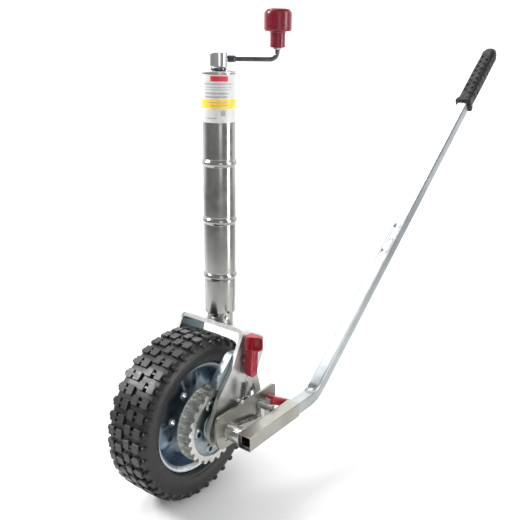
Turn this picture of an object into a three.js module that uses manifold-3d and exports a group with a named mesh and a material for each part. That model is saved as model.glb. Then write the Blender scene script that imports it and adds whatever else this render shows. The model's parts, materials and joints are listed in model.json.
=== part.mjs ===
// Tongue jack stand: a screw jack on a swivelling drive wheel, with a ratchet lever that pushes the wheel round.
// Millimetres, +Z up.  The origin is on the axis of the jack tube, at the outer tube's lower end.
// The wheel's axle runs along Y, the ratchet and its lever are on the -Y side, and the handle reaches to +X.
import * as THREE from 'three';
import { mergeVertices } from 'three/addons/utils/BufferGeometryUtils.js';
import Module from 'manifold-3d';

const wasm = await Module();
wasm.setup();

const DEG = Math.PI / 180;
const GAP = 0.3;                      // clearance between pieces that touch

// ---- driving dimensions -------------------------------------------------------------------------------------
const TUBE_R = 30;                    // outer tube, 60 mm over all
const TUBE_BORE_R = 27;
const TUBE_TOP = 446;
const BEAD_HEIGHTS = [75, 183, 290];  // centres of the three rolled beads
const BEAD_RISE = 2.4;
const BEAD_HALF = 7;
const CAP_TOP = 451;
const LABEL_LOW = 363;
const LABEL_HIGH = 445;

const HEAD_R = 17.8;                  // turned crank head
const HEAD_LOW = 455;
const HEAD_TOP = 481;
const SCREW_R = 8;
const SCREW_LOW = 40;
const CRANK_TURN = -53 * DEG;         // direction of the crank at rest
const CRANK_RADIUS = 102;
const ROD_R = 4;
const ROD_HEIGHT = 470;
const ROD_END = 541;
const KNOB_LOW = 489.6;
const KNOB_NECK_R = 13.2;
const KNOB_BODY_LOW = 517;
const KNOB_BODY_R = 24.1;
const KNOB_TOP = 554;

const INNER_R = 25.5;                 // inner tube, 51 mm over all
const INNER_BORE_R = 22.5;
const INNER_TOP = 425;
const LOCK_PIN_TURN = -114 * DEG;     // where the locking pin stands round the tube
const LOCK_PIN_HEIGHT = -8;

const AXLE_X = -96;                   // the wheel trails behind the tube
const AXLE_Z = -185;
const AXLE_R = 10;
const SHEET = 8;                      // fork sheet
const FORK_NEAR = -85;                // outer faces of the fork's two legs
const FORK_FAR = 72.5;
const FORK_WIDTH = 72;
const FORK_TILT = 25 * DEG;           // the fork's top slopes down towards +X
const FORK_TOP = -25;                 // height of its top face on the tube's axis
const BEND_R = 14;
const NEAR_EYE_R = 37;
const FAR_EYE_R = 30;

const TYRE_R = 162;                   // over the lugs
const CARCASS_R = 155.8;              // between them
const TYRE_NEAR = -40.6;
const TYRE_FAR = 57.6;
const LUG_ROWS = 37;
const RIM_R = 108.8;
const RIM_BORE_R = 97;
const RIM_FACE = -24.5;
const HUB_R = 20;
const HUB_NEAR = -57;
const HUB_FAR = 44;

const TEETH = 24;
const GEAR_TIP_R = 75;
const GEAR_ROOT_R = 68;
const GEAR_BORE_R = 60;
const GEAR_NEAR = -69;
const GEAR_BACK = -39;
const GEAR_PHASE = 12.8 * DEG;        // angle of the middle of one gap between teeth
const RIVETS = 5;
const RIVET_CIRCLE = 46;
const RIVET_TURN = 106 * DEG;

const PLATE_NEAR = -99.3;             // lever plate, outside the near leg
const PLATE_T = 5;
const PLATE_LOW = -218;
const PLATE_HIGH = -146.5;
const PLATE_BACK = -129;
const PLATE_FRONT = 51;
const SOCKET = 29;                    // square socket for the handle
const SOCKET_WALL = 1.6;
const SOCKET_FACE = -132.7;
const SOCKET_BACK = -110.5;
const SOCKET_FRONT = 45.5;
const BAR = 25;                       // square handle tube
const BAR_WALL = 2;
const BAR_START = -104;
const BAR_BEND_X = 112;
const BAR_BEND_R = 60;
const BAR_RISE = 38.6 * DEG;
const BAR_RUN = 1020;                 // from the bend's corner to the bar's end
const GRIP_START = 843;               // both measured along the upper run from the bend's corner
const GRIP_END = 1043;
const GRIP_SIDE = 34;

const DRIVE_X = -4.5;                 // pivot of the drive pawl, on the lever
const DRIVE_Z = -170;
const DRIVE_TIP_TURN = 29.3 * DEG;    // where its nose stands round the axle, clear of the teeth
const HOLD_X = -26;                   // pivot of the hold pawl, on the fork
const HOLD_Z = -72;
const HOLD_TIP_TURN = 90.3 * DEG;
const HOLD_NOSE_R = 76.5;             // how far the noses stand from the axle
const DRIVE_NOSE_R = 78.3;
const SPRING_PIN_X = -62;
const SPRING_PIN_Z = -139;

// ---- materials ----------------------------------------------------------------------------------------------
function finish(color, roughness, metalness) {
  return new THREE.MeshStandardMaterial({ color, roughness, metalness });
}
const zinc = finish(0xc4c7c6, 0.35, 0.9);
const steel = finish(0x8f9496, 0.4, 0.9);
const chrome = finish(0xdadde0, 0.08, 1.0);
const darkSteel = finish(0x54565c, 0.3, 0.9);
const rimZinc = finish(0x9fb0c0, 0.35, 0.85);
const rubber = finish(0x1d1d1f, 0.85, 0.0);
const redPlastic = finish(0xa01d25, 0.35, 0.0);
const knobRed = finish(0x7d1220, 0.25, 0.0);
const paper = finish(0xf2f2f0, 0.6, 0.0);
const nylon = finish(0xe6e4da, 0.5, 0.0);

// ---- solids -------------------------------------------------------------------------------------------------
// A closed geometry with shared vertices, no collapsed triangles, and its faces pointing out.
function closed(geometry) {
  const bare = geometry.index ? geometry.toNonIndexed() : geometry.clone();
  bare.deleteAttribute('normal');
  bare.deleteAttribute('uv');
  const merged = mergeVertices(bare, 1e-3);
  const at = merged.attributes.position;
  const keep = [];
  let volume = 0;
  const corner = [new THREE.Vector3(), new THREE.Vector3(), new THREE.Vector3()];
  for (let i = 0; i < merged.index.count; i += 3) {
    const [a, b, c] = [0, 1, 2].map((k) => merged.index.getX(i + k));
    if (a === b || b === c || c === a) continue;
    [a, b, c].forEach((index, k) => corner[k].fromBufferAttribute(at, index));
    volume += corner[0].dot(corner[1].clone().cross(corner[2]));
    keep.push([a, b, c]);
  }
  if (volume < 0) keep.forEach((triangle) => triangle.reverse());
  const result = new THREE.BufferGeometry();
  result.setAttribute('position', at.clone());
  result.setIndex(keep.flat());
  return result;
}

function toSolid(geometry) {
  const shape = closed(geometry);
  return new wasm.Manifold(new wasm.Mesh({
    numProp: 3,
    vertProperties: new Float32Array(shape.attributes.position.array),
    triVerts: new Uint32Array(shape.index.array),
  }));
}

function fromSolid(solid) {
  const mesh = solid.getMesh();
  const geometry = new THREE.BufferGeometry();
  geometry.setAttribute('position', new THREE.BufferAttribute(new Float32Array(mesh.vertProperties), 3));
  geometry.setIndex(new THREE.BufferAttribute(new Uint32Array(mesh.triVerts), 1));
  return geometry;
}

function join(first, ...others) {
  return fromSolid(others.reduce((solid, next) => solid.add(toSolid(next)), toSolid(first)));
}

function cut(first, ...others) {
  return fromSolid(others.reduce((solid, next) => solid.subtract(toSolid(next)), toSolid(first)));
}

// A turned piece about the Y axis, from an outline of [radius, y] points that closes on itself.
function turned(outline, segments = 24) {
  const points = [...outline, outline[0]].map(([r, y]) => new THREE.Vector2(r, y));
  return closed(new THREE.LatheGeometry(points, segments));
}

function ring(inner, outer, from, to, segments = 24) {
  return turned([[inner, from], [outer, from], [outer, to], [inner, to]], segments);
}

function round(radius, from, to, segments = 16) {
  return new THREE.CylinderGeometry(radius, radius, to - from, segments).translate(0, (from + to) / 2, 0);
}

// Stands a piece that was made about the Y axis upright, so that its y becomes z.
function upright(geometry) {
  return geometry.rotateX(Math.PI / 2);
}

// Moves a piece that was made about the Y axis on to the wheel's axle.
function onAxle(geometry) {
  return geometry.translate(AXLE_X, 0, AXLE_Z);
}

// A flat plate lying in the XZ plane, from a shape drawn in x and z.
function plate(shape, from, to, curveSegments = 12) {
  const body = new THREE.ExtrudeGeometry(shape, { depth: to - from, bevelEnabled: false, curveSegments });
  return body.rotateX(Math.PI / 2).translate(0, to, 0);
}

function polygon(points) {
  return new THREE.Shape(points.map(([x, z]) => new THREE.Vector2(x, z)));
}

function block(x, y, z) {
  return new THREE.BoxGeometry(x[1] - x[0], y[1] - y[0], z[1] - z[0])
    .translate((x[0] + x[1]) / 2, (y[0] + y[1]) / 2, (z[0] + z[1]) / 2);
}

function circleShape(radius, sides) {
  const points = [];
  for (let i = 0; i < sides; i += 1) {
    const turn = (i / sides) * 2 * Math.PI;
    points.push(new THREE.Vector2(radius * Math.cos(turn), radius * Math.sin(turn)));
  }
  return new THREE.Shape(points);
}

function roundedSquare(side, corner) {
  const half = side / 2;
  const shape = new THREE.Shape();
  shape.moveTo(half, -half + corner);
  shape.absarc(half - corner, half - corner, corner, 0, Math.PI / 2);
  shape.absarc(-half + corner, half - corner, corner, Math.PI / 2, Math.PI);
  shape.absarc(-half + corner, -half + corner, corner, Math.PI, 1.5 * Math.PI);
  shape.absarc(half - corner, -half + corner, corner, 1.5 * Math.PI, 2 * Math.PI);
  return shape;
}

function around(centre, radius, turn) {
  return [centre[0] + radius * Math.cos(turn), centre[1] + radius * Math.sin(turn)];
}

const AXLE = [AXLE_X, AXLE_Z];
const part = new THREE.Group();

function add(name, geometry, material, parent = part) {
  const mesh = new THREE.Mesh(geometry, material);
  mesh.name = name;
  parent.add(mesh);
  return mesh;
}

// ---- jack: outer tube, cap, screw and crank -----------------------------------------------------------------
function outerTube() {
  const outline = [[TUBE_BORE_R, 0], [28.6, 0], [29.6, 0.8], [TUBE_R, 2.4]];
  for (const height of BEAD_HEIGHTS) {
    for (const [along, rise] of [[-1, 0], [-0.45, BEAD_RISE], [0.45, BEAD_RISE], [1, 0]]) {
      outline.push([TUBE_R + rise, height + along * BEAD_HALF]);
    }
  }
  outline.push([TUBE_R, TUBE_TOP], [TUBE_BORE_R, TUBE_TOP]);
  const tube = upright(turned(outline, 28));
  const notch = block([24, 34], [-4.5, 4.5], [-5, 7]).rotateZ(LOCK_PIN_TURN);
  return cut(tube, notch);
}

function topCap() {
  const bore = SCREW_R + 0.8;
  return upright(turned([[bore, TUBE_TOP - 10], [TUBE_BORE_R - GAP, TUBE_TOP - 10],
    [TUBE_BORE_R - GAP, TUBE_TOP + GAP], [TUBE_R + 0.2, TUBE_TOP + GAP], [TUBE_R + 0.2, CAP_TOP - 1.4],
    [TUBE_R - 1, CAP_TOP], [bore, CAP_TOP]], 28));
}

function screw() {
  const collarTop = TUBE_TOP - 10 - GAP;
  const body = upright(turned([[0, SCREW_LOW], [SCREW_R - 1.5, SCREW_LOW], [SCREW_R, SCREW_LOW + 1.5],
    [SCREW_R, collarTop - 6], [SCREW_R + 6, collarTop - 6], [SCREW_R + 6, collarTop], [SCREW_R, collarTop],
    [SCREW_R, HEAD_TOP - 5.3], [0, HEAD_TOP - 5.3]], 16));
  const crossHole = round(ROD_R + GAP, -12, 12, 12).rotateZ(Math.PI / 2).translate(0, 0, ROD_HEIGHT);
  return cut(body, crossHole.rotateZ(CRANK_TURN));
}

function crankHead() {
  const body = upright(turned([[0, HEAD_LOW], [HEAD_R - 0.8, HEAD_LOW], [HEAD_R, HEAD_LOW + 0.8],
    [HEAD_R, HEAD_TOP - 0.8], [HEAD_R - 0.8, HEAD_TOP], [0, HEAD_TOP]], 28));
  const screwHole = upright(round(SCREW_R + GAP, HEAD_LOW - 5, HEAD_TOP - 5, 16));
  const rodHole = round(ROD_R + GAP, -24, 14.5, 12).rotateZ(Math.PI / 2).translate(0, 0, ROD_HEIGHT);
  return cut(body, screwHole, rodHole);
}

// A rod of one section carried through stations, each a point and a turn about Y from the +X direction.
function throughStations(section, stations) {
  const positions = [];
  const index = [];
  const count = section.length;
  for (const [point, turn] of stations) {
    for (const { x, y } of section) {
      positions.push(point.x - y * Math.sin(turn), point.y + x, point.z + y * Math.cos(turn));
    }
  }
  for (let s = 0; s + 1 < stations.length; s += 1) {
    for (let i = 0; i < count; i += 1) {
      const next = (i + 1) % count;
      const [a, b, c, d] = [s * count + i, s * count + next, (s + 1) * count + i, (s + 1) * count + next];
      index.push(a, b, c, b, d, c);
    }
  }
  const last = (stations.length - 1) * count;
  for (let i = 1; i + 1 < count; i += 1) {
    index.push(0, i + 1, i, last, last + i, last + i + 1);
  }
  const geometry = new THREE.BufferGeometry();
  geometry.setAttribute('position', new THREE.Float32BufferAttribute(positions, 3));
  geometry.setIndex(index);
  return closed(geometry);
}

// Stations for a straight run along +X, a bend upwards through the given angle, and a second straight run.
function bentStations(start, corner, bendR, rise, run, steps) {
  const tangent = bendR * Math.tan(rise / 2);
  const along = new THREE.Vector3(Math.cos(rise), 0, Math.sin(rise));
  const stations = [[start, 0]];
  for (let i = 0; i <= steps; i += 1) {
    const turn = (i / steps) * rise;
    stations.push([new THREE.Vector3(corner.x - tangent + bendR * Math.sin(turn), corner.y,
      corner.z + bendR * (1 - Math.cos(turn))), turn]);
  }
  stations.push([corner.clone().addScaledVector(along, run), rise]);
  return stations;
}

function crankRod() {
  const start = new THREE.Vector3(-14, 0, ROD_HEIGHT);
  const corner = new THREE.Vector3(CRANK_RADIUS, 0, ROD_HEIGHT);
  const stations = bentStations(start, corner, 11, 90 * DEG, ROD_END - ROD_HEIGHT, 5);
  return throughStations(circleShape(ROD_R, 12).getPoints().slice(0, 12), stations);
}

function knob() {
  const bore = ROD_R + 0.4;
  return upright(turned([[0, KNOB_TOP], [KNOB_BODY_R - 7, KNOB_TOP],
    [KNOB_BODY_R - 2, KNOB_TOP - 3], [KNOB_BODY_R, KNOB_TOP - 9], [KNOB_BODY_R, KNOB_BODY_LOW + 5],
    [KNOB_BODY_R - 3, KNOB_BODY_LOW], [KNOB_NECK_R + 1.5, KNOB_BODY_LOW - 3.5],
    [KNOB_NECK_R, KNOB_BODY_LOW - 8], [KNOB_NECK_R, KNOB_LOW],
    [bore, KNOB_LOW], [bore, ROD_END + 1], [0, ROD_END + 1]], 20)).translate(CRANK_RADIUS, 0, 0);
}

add('outer_tube', outerTube(), zinc);
add('top_cap', topCap(), zinc);
add('thrust_washer', upright(ring(SCREW_R + 0.8, 14.5, CAP_TOP + GAP, HEAD_LOW - GAP)), darkSteel);
add('label', upright(ring(TUBE_R + GAP, TUBE_R + 2 * GAP, LABEL_LOW, LABEL_HIGH, 28)), paper);
add('lift_screw', screw(), steel);

const crank = new THREE.Group();
crank.rotation.z = CRANK_TURN;
part.add(crank);
add('crank_head', crankHead(), chrome, crank);
add('crank_rod', crankRod(), darkSteel, crank);
add('crank_collar', ring(ROD_R + GAP, 5.6, 18.1, 29.6, 16).rotateZ(-Math.PI / 2).translate(0, 0, ROD_HEIGHT),
  darkSteel, crank);
add('knob_clip', upright(ring(ROD_R + GAP, 7.5, KNOB_LOW - 3.3, KNOB_LOW - GAP, 12))
  .translate(CRANK_RADIUS, 0, 0), steel, crank);
add('knob', knob(), knobRed, crank);

// ---- inner tube, nut and fork -------------------------------------------------------------------------------
// The strip that the fork is bent from: its length runs across the fork along Y, and its width slopes down to +X.
const ALONG_WIDTH = new THREE.Vector3(Math.cos(FORK_TILT), 0, -Math.sin(FORK_TILT));
const ALONG_NORMAL = new THREE.Vector3(Math.sin(FORK_TILT), 0, Math.cos(FORK_TILT));
const FORK_PLACE = new THREE.Matrix4()
  .makeBasis(new THREE.Vector3(0, 1, 0), ALONG_NORMAL, ALONG_WIDTH)
  .setPosition(0, 0, FORK_TOP);

function onStrip(width, normal) {
  const point = ALONG_WIDTH.clone().multiplyScalar(width).addScaledVector(ALONG_NORMAL, normal);
  return [point.x, point.z + FORK_TOP];
}

function innerTube() {
  const tube = upright(ring(INNER_BORE_R, INNER_R, -70, INNER_TOP, 28));
  const below = new THREE.BoxGeometry(200, 100, 200).translate(0, GAP - 50, 0).applyMatrix4(FORK_PLACE);
  const pinHole = round(3 + GAP, 0, 40, 12).rotateZ(-Math.PI / 2).translate(0, 0, LOCK_PIN_HEIGHT)
    .rotateZ(LOCK_PIN_TURN);
  return cut(tube, below, pinHole);
}

function forkBend() {
  const inner = BEND_R - SHEET;
  const low = -BEND_R - 8;
  const shape = new THREE.Shape();
  shape.moveTo(FORK_NEAR, low);
  shape.lineTo(FORK_NEAR + SHEET, low);
  shape.lineTo(FORK_NEAR + SHEET, -BEND_R);
  shape.absarc(FORK_NEAR + BEND_R, -BEND_R, inner, Math.PI, Math.PI / 2, true);
  shape.absarc(FORK_FAR - BEND_R, -BEND_R, inner, Math.PI / 2, 0, true);
  shape.lineTo(FORK_FAR - SHEET, low);
  shape.lineTo(FORK_FAR, low);
  shape.absarc(FORK_FAR - BEND_R, -BEND_R, BEND_R, 0, Math.PI / 2, false);
  shape.absarc(FORK_NEAR + BEND_R, -BEND_R, BEND_R, Math.PI / 2, Math.PI, false);
  const strip = new THREE.ExtrudeGeometry(shape, { depth: FORK_WIDTH, bevelEnabled: false, curveSegments: 5 });
  return strip.translate(0, 0, -FORK_WIDTH / 2).applyMatrix4(FORK_PLACE);
}

function nearLeg() {
  const rearR = 121;
  const shape = new THREE.Shape();
  shape.moveTo(...onStrip(-FORK_WIDTH / 2, -BEND_R));
  shape.lineTo(-69, -79);
  shape.lineTo(-104, -118);
  shape.absarc(AXLE_X, AXLE_Z, NEAR_EYE_R, 165 * DEG, 290 * DEG, false);
  shape.lineTo(-50, -226);
  shape.lineTo(-8, -240);
  shape.absarc(AXLE_X, AXLE_Z, rearR, -27 * DEG, 15 * DEG, false);
  shape.lineTo(8.6, -108);
  shape.lineTo(29, -70);
  shape.lineTo(...onStrip(FORK_WIDTH / 2, -BEND_R));
  const window = new THREE.Path();
  window.absarc(AXLE_X, AXLE_Z, 107, -21 * DEG, 21 * DEG, false);
  window.lineTo(-2, -129);
  window.absarc(AXLE_X, AXLE_Z, 73, 24 * DEG, -21 * DEG, true);
  shape.holes.push(window);
  return plate(shape, FORK_NEAR, FORK_NEAR + SHEET, 9);
}

const FAR_EYE_TURN = 155 * DEG;       // where the leg's front edge meets the round of its eye

function farLeg() {
  const shape = new THREE.Shape();
  shape.moveTo(...onStrip(-FORK_WIDTH / 2, -BEND_R));
  shape.lineTo(...around(AXLE, FAR_EYE_R, FAR_EYE_TURN));
  shape.absarc(AXLE_X, AXLE_Z, FAR_EYE_R, FAR_EYE_TURN, 330 * DEG, false);
  shape.lineTo(16, -90);
  shape.lineTo(...onStrip(FORK_WIDTH / 2, -BEND_R));
  return plate(shape, FORK_FAR - SHEET, FORK_FAR, 9);
}

function fork() {
  const body = join(forkBend(), nearLeg(), farLeg());
  const axleHole = onAxle(round(AXLE_R + 0.4, -100, 90, 20));
  const holdHole = round(8.3, -100, 0, 16).translate(HOLD_X, 0, HOLD_Z);
  const pinHole = round(4.5 + GAP, -100, 0, 14).translate(SPRING_PIN_X, 0, SPRING_PIN_Z);
  return cut(body, axleHole, holdHole, pinHole);
}

add('inner_tube', innerTube(), zinc);
add('lift_nut', upright(ring(SCREW_R + 0.4, INNER_BORE_R - GAP, 395, 419, 24)), steel);
add('guide_ring', upright(ring(INNER_R + GAP, TUBE_BORE_R - 0.35, 400, 418, 28)), nylon);
add('locking_pin', round(3, 18, 29.5, 12).rotateZ(-Math.PI / 2).translate(0, 0, LOCK_PIN_HEIGHT)
  .rotateZ(LOCK_PIN_TURN), steel);
add('fork', fork(), zinc);

// ---- axle and wheel -----------------------------------------------------------------------------------------
const AXLE_NEAR_END = -128;
const GROOVE = -108;                  // the retaining pin's groove in the axle

function axle() {
  return onAxle(turned([[0, AXLE_NEAR_END], [AXLE_R - 1, AXLE_NEAR_END], [AXLE_R, AXLE_NEAR_END + 1],
    [AXLE_R, GROOVE - 2.6], [7.4, GROOVE - 2.6], [7.4, GROOVE + 2.6], [AXLE_R, GROOVE + 2.6],
    [AXLE_R, 93], [AXLE_R - 1, 94], [0, 94]], 20));
}

function hexNut(from, to) {
  const body = new THREE.CylinderGeometry(17, 17, to - from, 6).translate(0, (from + to) / 2, 0);
  return onAxle(cut(body, round(AXLE_R + GAP, from - 1, to + 1, 20)));
}

// One band of the tread: lugs of one height and width, evenly spaced, on a ring sunk into the carcass.
function treadBand(from, to, height, phase) {
  const pitch = (2 * Math.PI) / LUG_ROWS;
  const points = [];
  for (let row = 0; row < LUG_ROWS; row += 1) {
    for (const [offset, radius] of [[-0.3, 149], [-0.27, height], [0.27, height], [0.3, 149]]) {
      points.push(around([0, 0], radius, (row + phase + offset) * pitch));
    }
  }
  const shape = polygon(points);
  shape.holes.push(new THREE.Path().absarc(0, 0, 140, 0, 2 * Math.PI, true));
  return plate(shape, from, to, 16);
}

function tyre() {
  const carcass = turned([[100.4, -13.5], [109.3, -20], [109.3, -27], [122, -37], [138, TYRE_NEAR], [149, -38.4],
    [CARCASS_R, -24], [CARCASS_R, 41], [149, 55.4], [138, TYRE_FAR], [122, 54], [108.8, 48.6], [108.8, 43.4],
    [100.4, 39.4]], 40);
  return onAxle(join(carcass, treadBand(-28.5, 8, TYRE_R, 0.08), treadBand(13.4, 47, TYRE_R, 0.6),
    treadBand(-37.6, -31, 156, 0.08), treadBand(49.5, 54.4, 156, 0.6)));
}

function rimWell() {
  return onAxle(turned([[RIM_BORE_R + 4, -20], [103.5, RIM_FACE], [RIM_R, RIM_FACE], [RIM_R, -21], [100, -14],
    [100, 40], [108, 44], [108, 48], [RIM_BORE_R, 42], [RIM_BORE_R, -13]], 36));
}

// The dished disc that carries the well on the hub and the ratchet gear.
function rimDisc() {
  const edge = RIM_BORE_R - GAP;
  const body = turned([[66, 2.5], [HUB_R + 0.4, 2.5], [HUB_R + 0.4, -0.5], [66, -0.5], [edge, 12.4], [edge, 15.9]], 36);
  return onAxle(cut(body, ...rivetHoles(-5, 8)));
}

function rivetTurn(i) {
  return RIVET_TURN + (i * 2 * Math.PI) / RIVETS;
}

function rivetHoles(from, to) {
  const holes = [];
  for (let i = 0; i < RIVETS; i += 1) {
    const [x, z] = around([0, 0], RIVET_CIRCLE, rivetTurn(i));
    holes.push(round(9.4, from, to, 10).translate(x, 0, z));
  }
  return holes;
}

function rivet(i) {
  const [x, z] = around(AXLE, RIVET_CIRCLE, rivetTurn(i));
  return turned([[4.6, GEAR_NEAR - 0.5], [10, GEAR_NEAR - 0.5], [11.5, -66.4], [9, -66.4], [9, 2.9],
    [11.5, 2.9], [11.5, 5.5], [4.6, 5.5]], 10).translate(x, 0, z);
}

function gearOutline() {
  const points = [];
  const pitch = (2 * Math.PI) / TEETH;
  const profile = [[-0.27, GEAR_ROOT_R], [-0.12, GEAR_TIP_R], [0.12, GEAR_TIP_R], [0.27, GEAR_ROOT_R]];
  for (let tooth = 0; tooth < TEETH; tooth += 1) {
    for (const [offset, radius] of profile) {
      points.push(around([0, 0], radius, GEAR_PHASE + (tooth + 0.5 + offset) * pitch));
    }
  }
  return points;
}

function ratchetGear() {
  const shape = polygon(gearOutline());
  shape.holes.push(new THREE.Path().absarc(0, 0, GEAR_BORE_R, 0, 2 * Math.PI, true));
  const band = plate(shape, GEAR_NEAR, GEAR_BACK, 16);
  const disc = ring(HUB_R + 0.7, GEAR_BORE_R + 1.5, -66, -62, 24);
  return onAxle(cut(join(band, disc), ...rivetHoles(-80, -50)));
}

function hub() {
  const seat = 15.4;
  return onAxle(turned([[seat, HUB_NEAR], [HUB_R, HUB_NEAR], [HUB_R, HUB_FAR], [seat, HUB_FAR],
    [seat, HUB_FAR - 12], [13, HUB_FAR - 12], [13, HUB_NEAR + 12], [seat, HUB_NEAR + 12]], 24));
}

add('axle', axle(), steel);
add('axle_washer', onAxle(ring(AXLE_R + 0.4, 20, FORK_FAR + GAP, 75.5)), zinc);
add('axle_nut', hexNut(75.8, 90), zinc);
add('far_spacer', onAxle(ring(AXLE_R + 0.4, 13.5, HUB_FAR + GAP, FORK_FAR - SHEET - GAP)), steel);
add('near_spacer', onAxle(ring(AXLE_R + 0.4, 13.5, FORK_NEAR + SHEET + GAP, HUB_NEAR - GAP)), steel);
add('lever_washer', onAxle(ring(AXLE_R + 0.4, 22, PLATE_NEAR + PLATE_T + GAP, FORK_NEAR - GAP)), zinc);
add('tyre', tyre(), rubber);
add('rim_well', rimWell(), rimZinc);
add('rim_disc', rimDisc(), rimZinc);
add('hub', hub(), steel);
add('bearing_near', onAxle(ring(AXLE_R + 0.4, 15.1, HUB_NEAR + 0.2, HUB_NEAR + 11.7)), darkSteel);
add('bearing_far', onAxle(ring(AXLE_R + 0.4, 15.1, HUB_FAR - 11.7, HUB_FAR - 0.2)), darkSteel);
add('ratchet_gear', ratchetGear(), zinc);
add('dust_shield', onAxle(turned([[15.5, -72], [15.5, -76.2], [28, -76.2], [34, -73.5], [34, -72]], 24)), zinc);
for (let i = 0; i < RIVETS; i += 1) {
  add(`gear_rivet_${i + 1}`, rivet(i), zinc);
}

// ---- hold pawl, on the fork's near leg ----------------------------------------------------------------------
const ARM_BACK = FORK_NEAR - 4;
const COAT = 1.6;                     // thickness of the red sleeve
const PADDLE_TURN = -60 * DEG;

function holdBlade() {
  const [x, z] = around(AXLE, HOLD_NOSE_R, HOLD_TIP_TURN);
  return polygon([[x - 3, z + 1], [x + 2.5, z], [x + 22, z + 3], [HOLD_X + 4, HOLD_Z - 12], [HOLD_X + 12, HOLD_Z + 2],
    [HOLD_X + 2, HOLD_Z + 13], [-52, -52], [-60, -54.5], [x - 2, z + 19], [x - 4.5, z + 12]]);
}

// The operating arm outside the leg: a narrow bar with a thumb paddle turned outwards at its top.
function holdArm(grow) {
  const arm = polygon([[-31 - grow, -20 + grow], [-36 - grow, -93], [-31, -99 - grow], [-20 + grow, -97 - grow],
    [-16.4 + grow, -20 + grow]]);
  const bar = plate(arm, -103 - grow, ARM_BACK + grow);
  const paddle = block([-14.4 - grow, 14.4 + grow], [-1.4 - grow, 1.4 + grow], [-44 - grow, -19 + grow]);
  return join(bar, paddle.rotateZ(PADDLE_TURN).translate(-26, -103.8, 0));
}

function holdPawl() {
  const shaft = round(8, ARM_BACK - 0.1, -60, 16).translate(HOLD_X, 0, HOLD_Z);
  return join(plate(holdBlade(), -76.4, -62), shaft, holdArm(0));
}

// The sleeve is open at the back, where the arm was pushed in.
function holdSleeve() {
  const back = block([-60, 20], [ARM_BACK - 0.4, ARM_BACK + 10], [-130, 20]);
  return cut(holdArm(COAT), holdArm(GAP), back);
}

add('hold_pawl', holdPawl(), zinc);
add('hold_pawl_sleeve', holdSleeve(), redPlastic);
add('spring_pin', turned([[0, -77.5], [4.5, -77.5], [4.5, -97], [3.2, -98], [3.2, -102], [4.5, -103], [4.5, -105.5],
  [3.5, -106.3], [0, -106.3]], 14).translate(SPRING_PIN_X, 0, SPRING_PIN_Z), zinc);

// ---- lever, drive pawl and handle ---------------------------------------------------------------------------
function leverPlate() {
  const left = 30;
  const right = 24;
  const shape = new THREE.Shape();
  shape.absarc(PLATE_FRONT - right, PLATE_HIGH - right, right, 0, 90 * DEG, false);
  shape.absarc(PLATE_BACK + left, PLATE_HIGH - left, left, 90 * DEG, 180 * DEG, false);
  shape.absarc(PLATE_BACK + left, PLATE_LOW + left, left, 180 * DEG, 270 * DEG, false);
  shape.absarc(PLATE_FRONT - right, PLATE_LOW + right, right, 270 * DEG, 360 * DEG, false);
  const body = plate(shape, PLATE_NEAR, PLATE_NEAR + PLATE_T, 6);
  const axleHole = onAxle(round(AXLE_R + 0.4, -110, -80, 20));
  const pawlHole = round(7.4, -110, -80, 16).translate(DRIVE_X, 0, DRIVE_Z);
  return cut(body, axleHole, pawlHole);
}

function leverSpacer() {
  const body = onAxle(ring(AXLE_R + 0.4, 15.5, SOCKET_FACE + GAP, PLATE_NEAR - GAP, 24));
  return cut(body, retainingPin(GAP));
}

// A straight pin that crosses the spacer and sits in the axle's groove.
function retainingPin(grow) {
  return round(2 + grow, -19 - grow, 19 + grow, 10).rotateZ(Math.PI / 2)
    .translate(AXLE_X, GROOVE, AXLE_Z - 9.9);
}

const SOCKET_Y = SOCKET_FACE - SOCKET / 2;

function socket() {
  const half = SOCKET / 2;
  const inner = half - SOCKET_WALL;
  const body = block([SOCKET_BACK, SOCKET_FRONT], [SOCKET_Y - half, SOCKET_Y + half], [AXLE_Z - half, AXLE_Z + half]);
  const bore = block([SOCKET_BACK - 5, SOCKET_FRONT + 5], [SOCKET_Y - inner, SOCKET_Y + inner],
    [AXLE_Z - inner, AXLE_Z + inner]);
  return cut(body, bore);
}

// The drive pawl's tail, which carries the red grip tab: it slopes down and away from the pivot.
const TAIL_SLOPE = 30 * DEG;

function onTail(geometry) {
  return geometry.rotateY(TAIL_SLOPE).translate(DRIVE_X, 0, DRIVE_Z);
}

function tailStrip(grow) {
  return onTail(block([-4 - grow, 80 + grow], [-123 - grow, -113 + grow], [12 - grow, 17 + grow]));
}

function drivePawl() {
  const [x, z] = around(AXLE, DRIVE_NOSE_R, DRIVE_TIP_TURN);
  const nose = polygon([[x - 2.2, z - 1.5], [x + 1.8, z - 1], [x + 19, z - 23], [DRIVE_X + 6, DRIVE_Z + 1],
    [DRIVE_X + 2, DRIVE_Z + 6], [x + 4, z + 6], [x - 1, z + 4]]);
  const springArm = polygon([[DRIVE_X - 6, DRIVE_Z], [DRIVE_X + 6, DRIVE_Z], [DRIVE_X + 8, DRIVE_Z - 28],
    [DRIVE_X, DRIVE_Z - 28]]);
  const hubTube = round(6.6, -131, -43, 16).translate(DRIVE_X, 0, DRIVE_Z);
  const web = onTail(block([-4, 1.2], [-123, -113], [2, 17]));
  const body = join(hubTube, plate(nose, -68, -45), plate(springArm, -107.5, -103.5), web, tailStrip(0));
  return cut(body, round(4 + GAP, -140, -30, 14).translate(DRIVE_X, 0, DRIVE_Z));
}

function driveTab() {
  const sleeve = onTail(block([1.6, 86], [-127.5, -108.5], [6.5, 23.5]));
  return cut(sleeve, tailStrip(GAP));
}

function bentSquare(side, corner, from, to) {
  const section = roundedSquare(side, corner).getPoints(2);
  section.pop();
  const start = new THREE.Vector3(from, SOCKET_Y, AXLE_Z);
  const bend = new THREE.Vector3(BAR_BEND_X, SOCKET_Y, AXLE_Z);
  return throughStations(section, bentStations(start, bend, BAR_BEND_R, BAR_RISE, to, 5));
}

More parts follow.
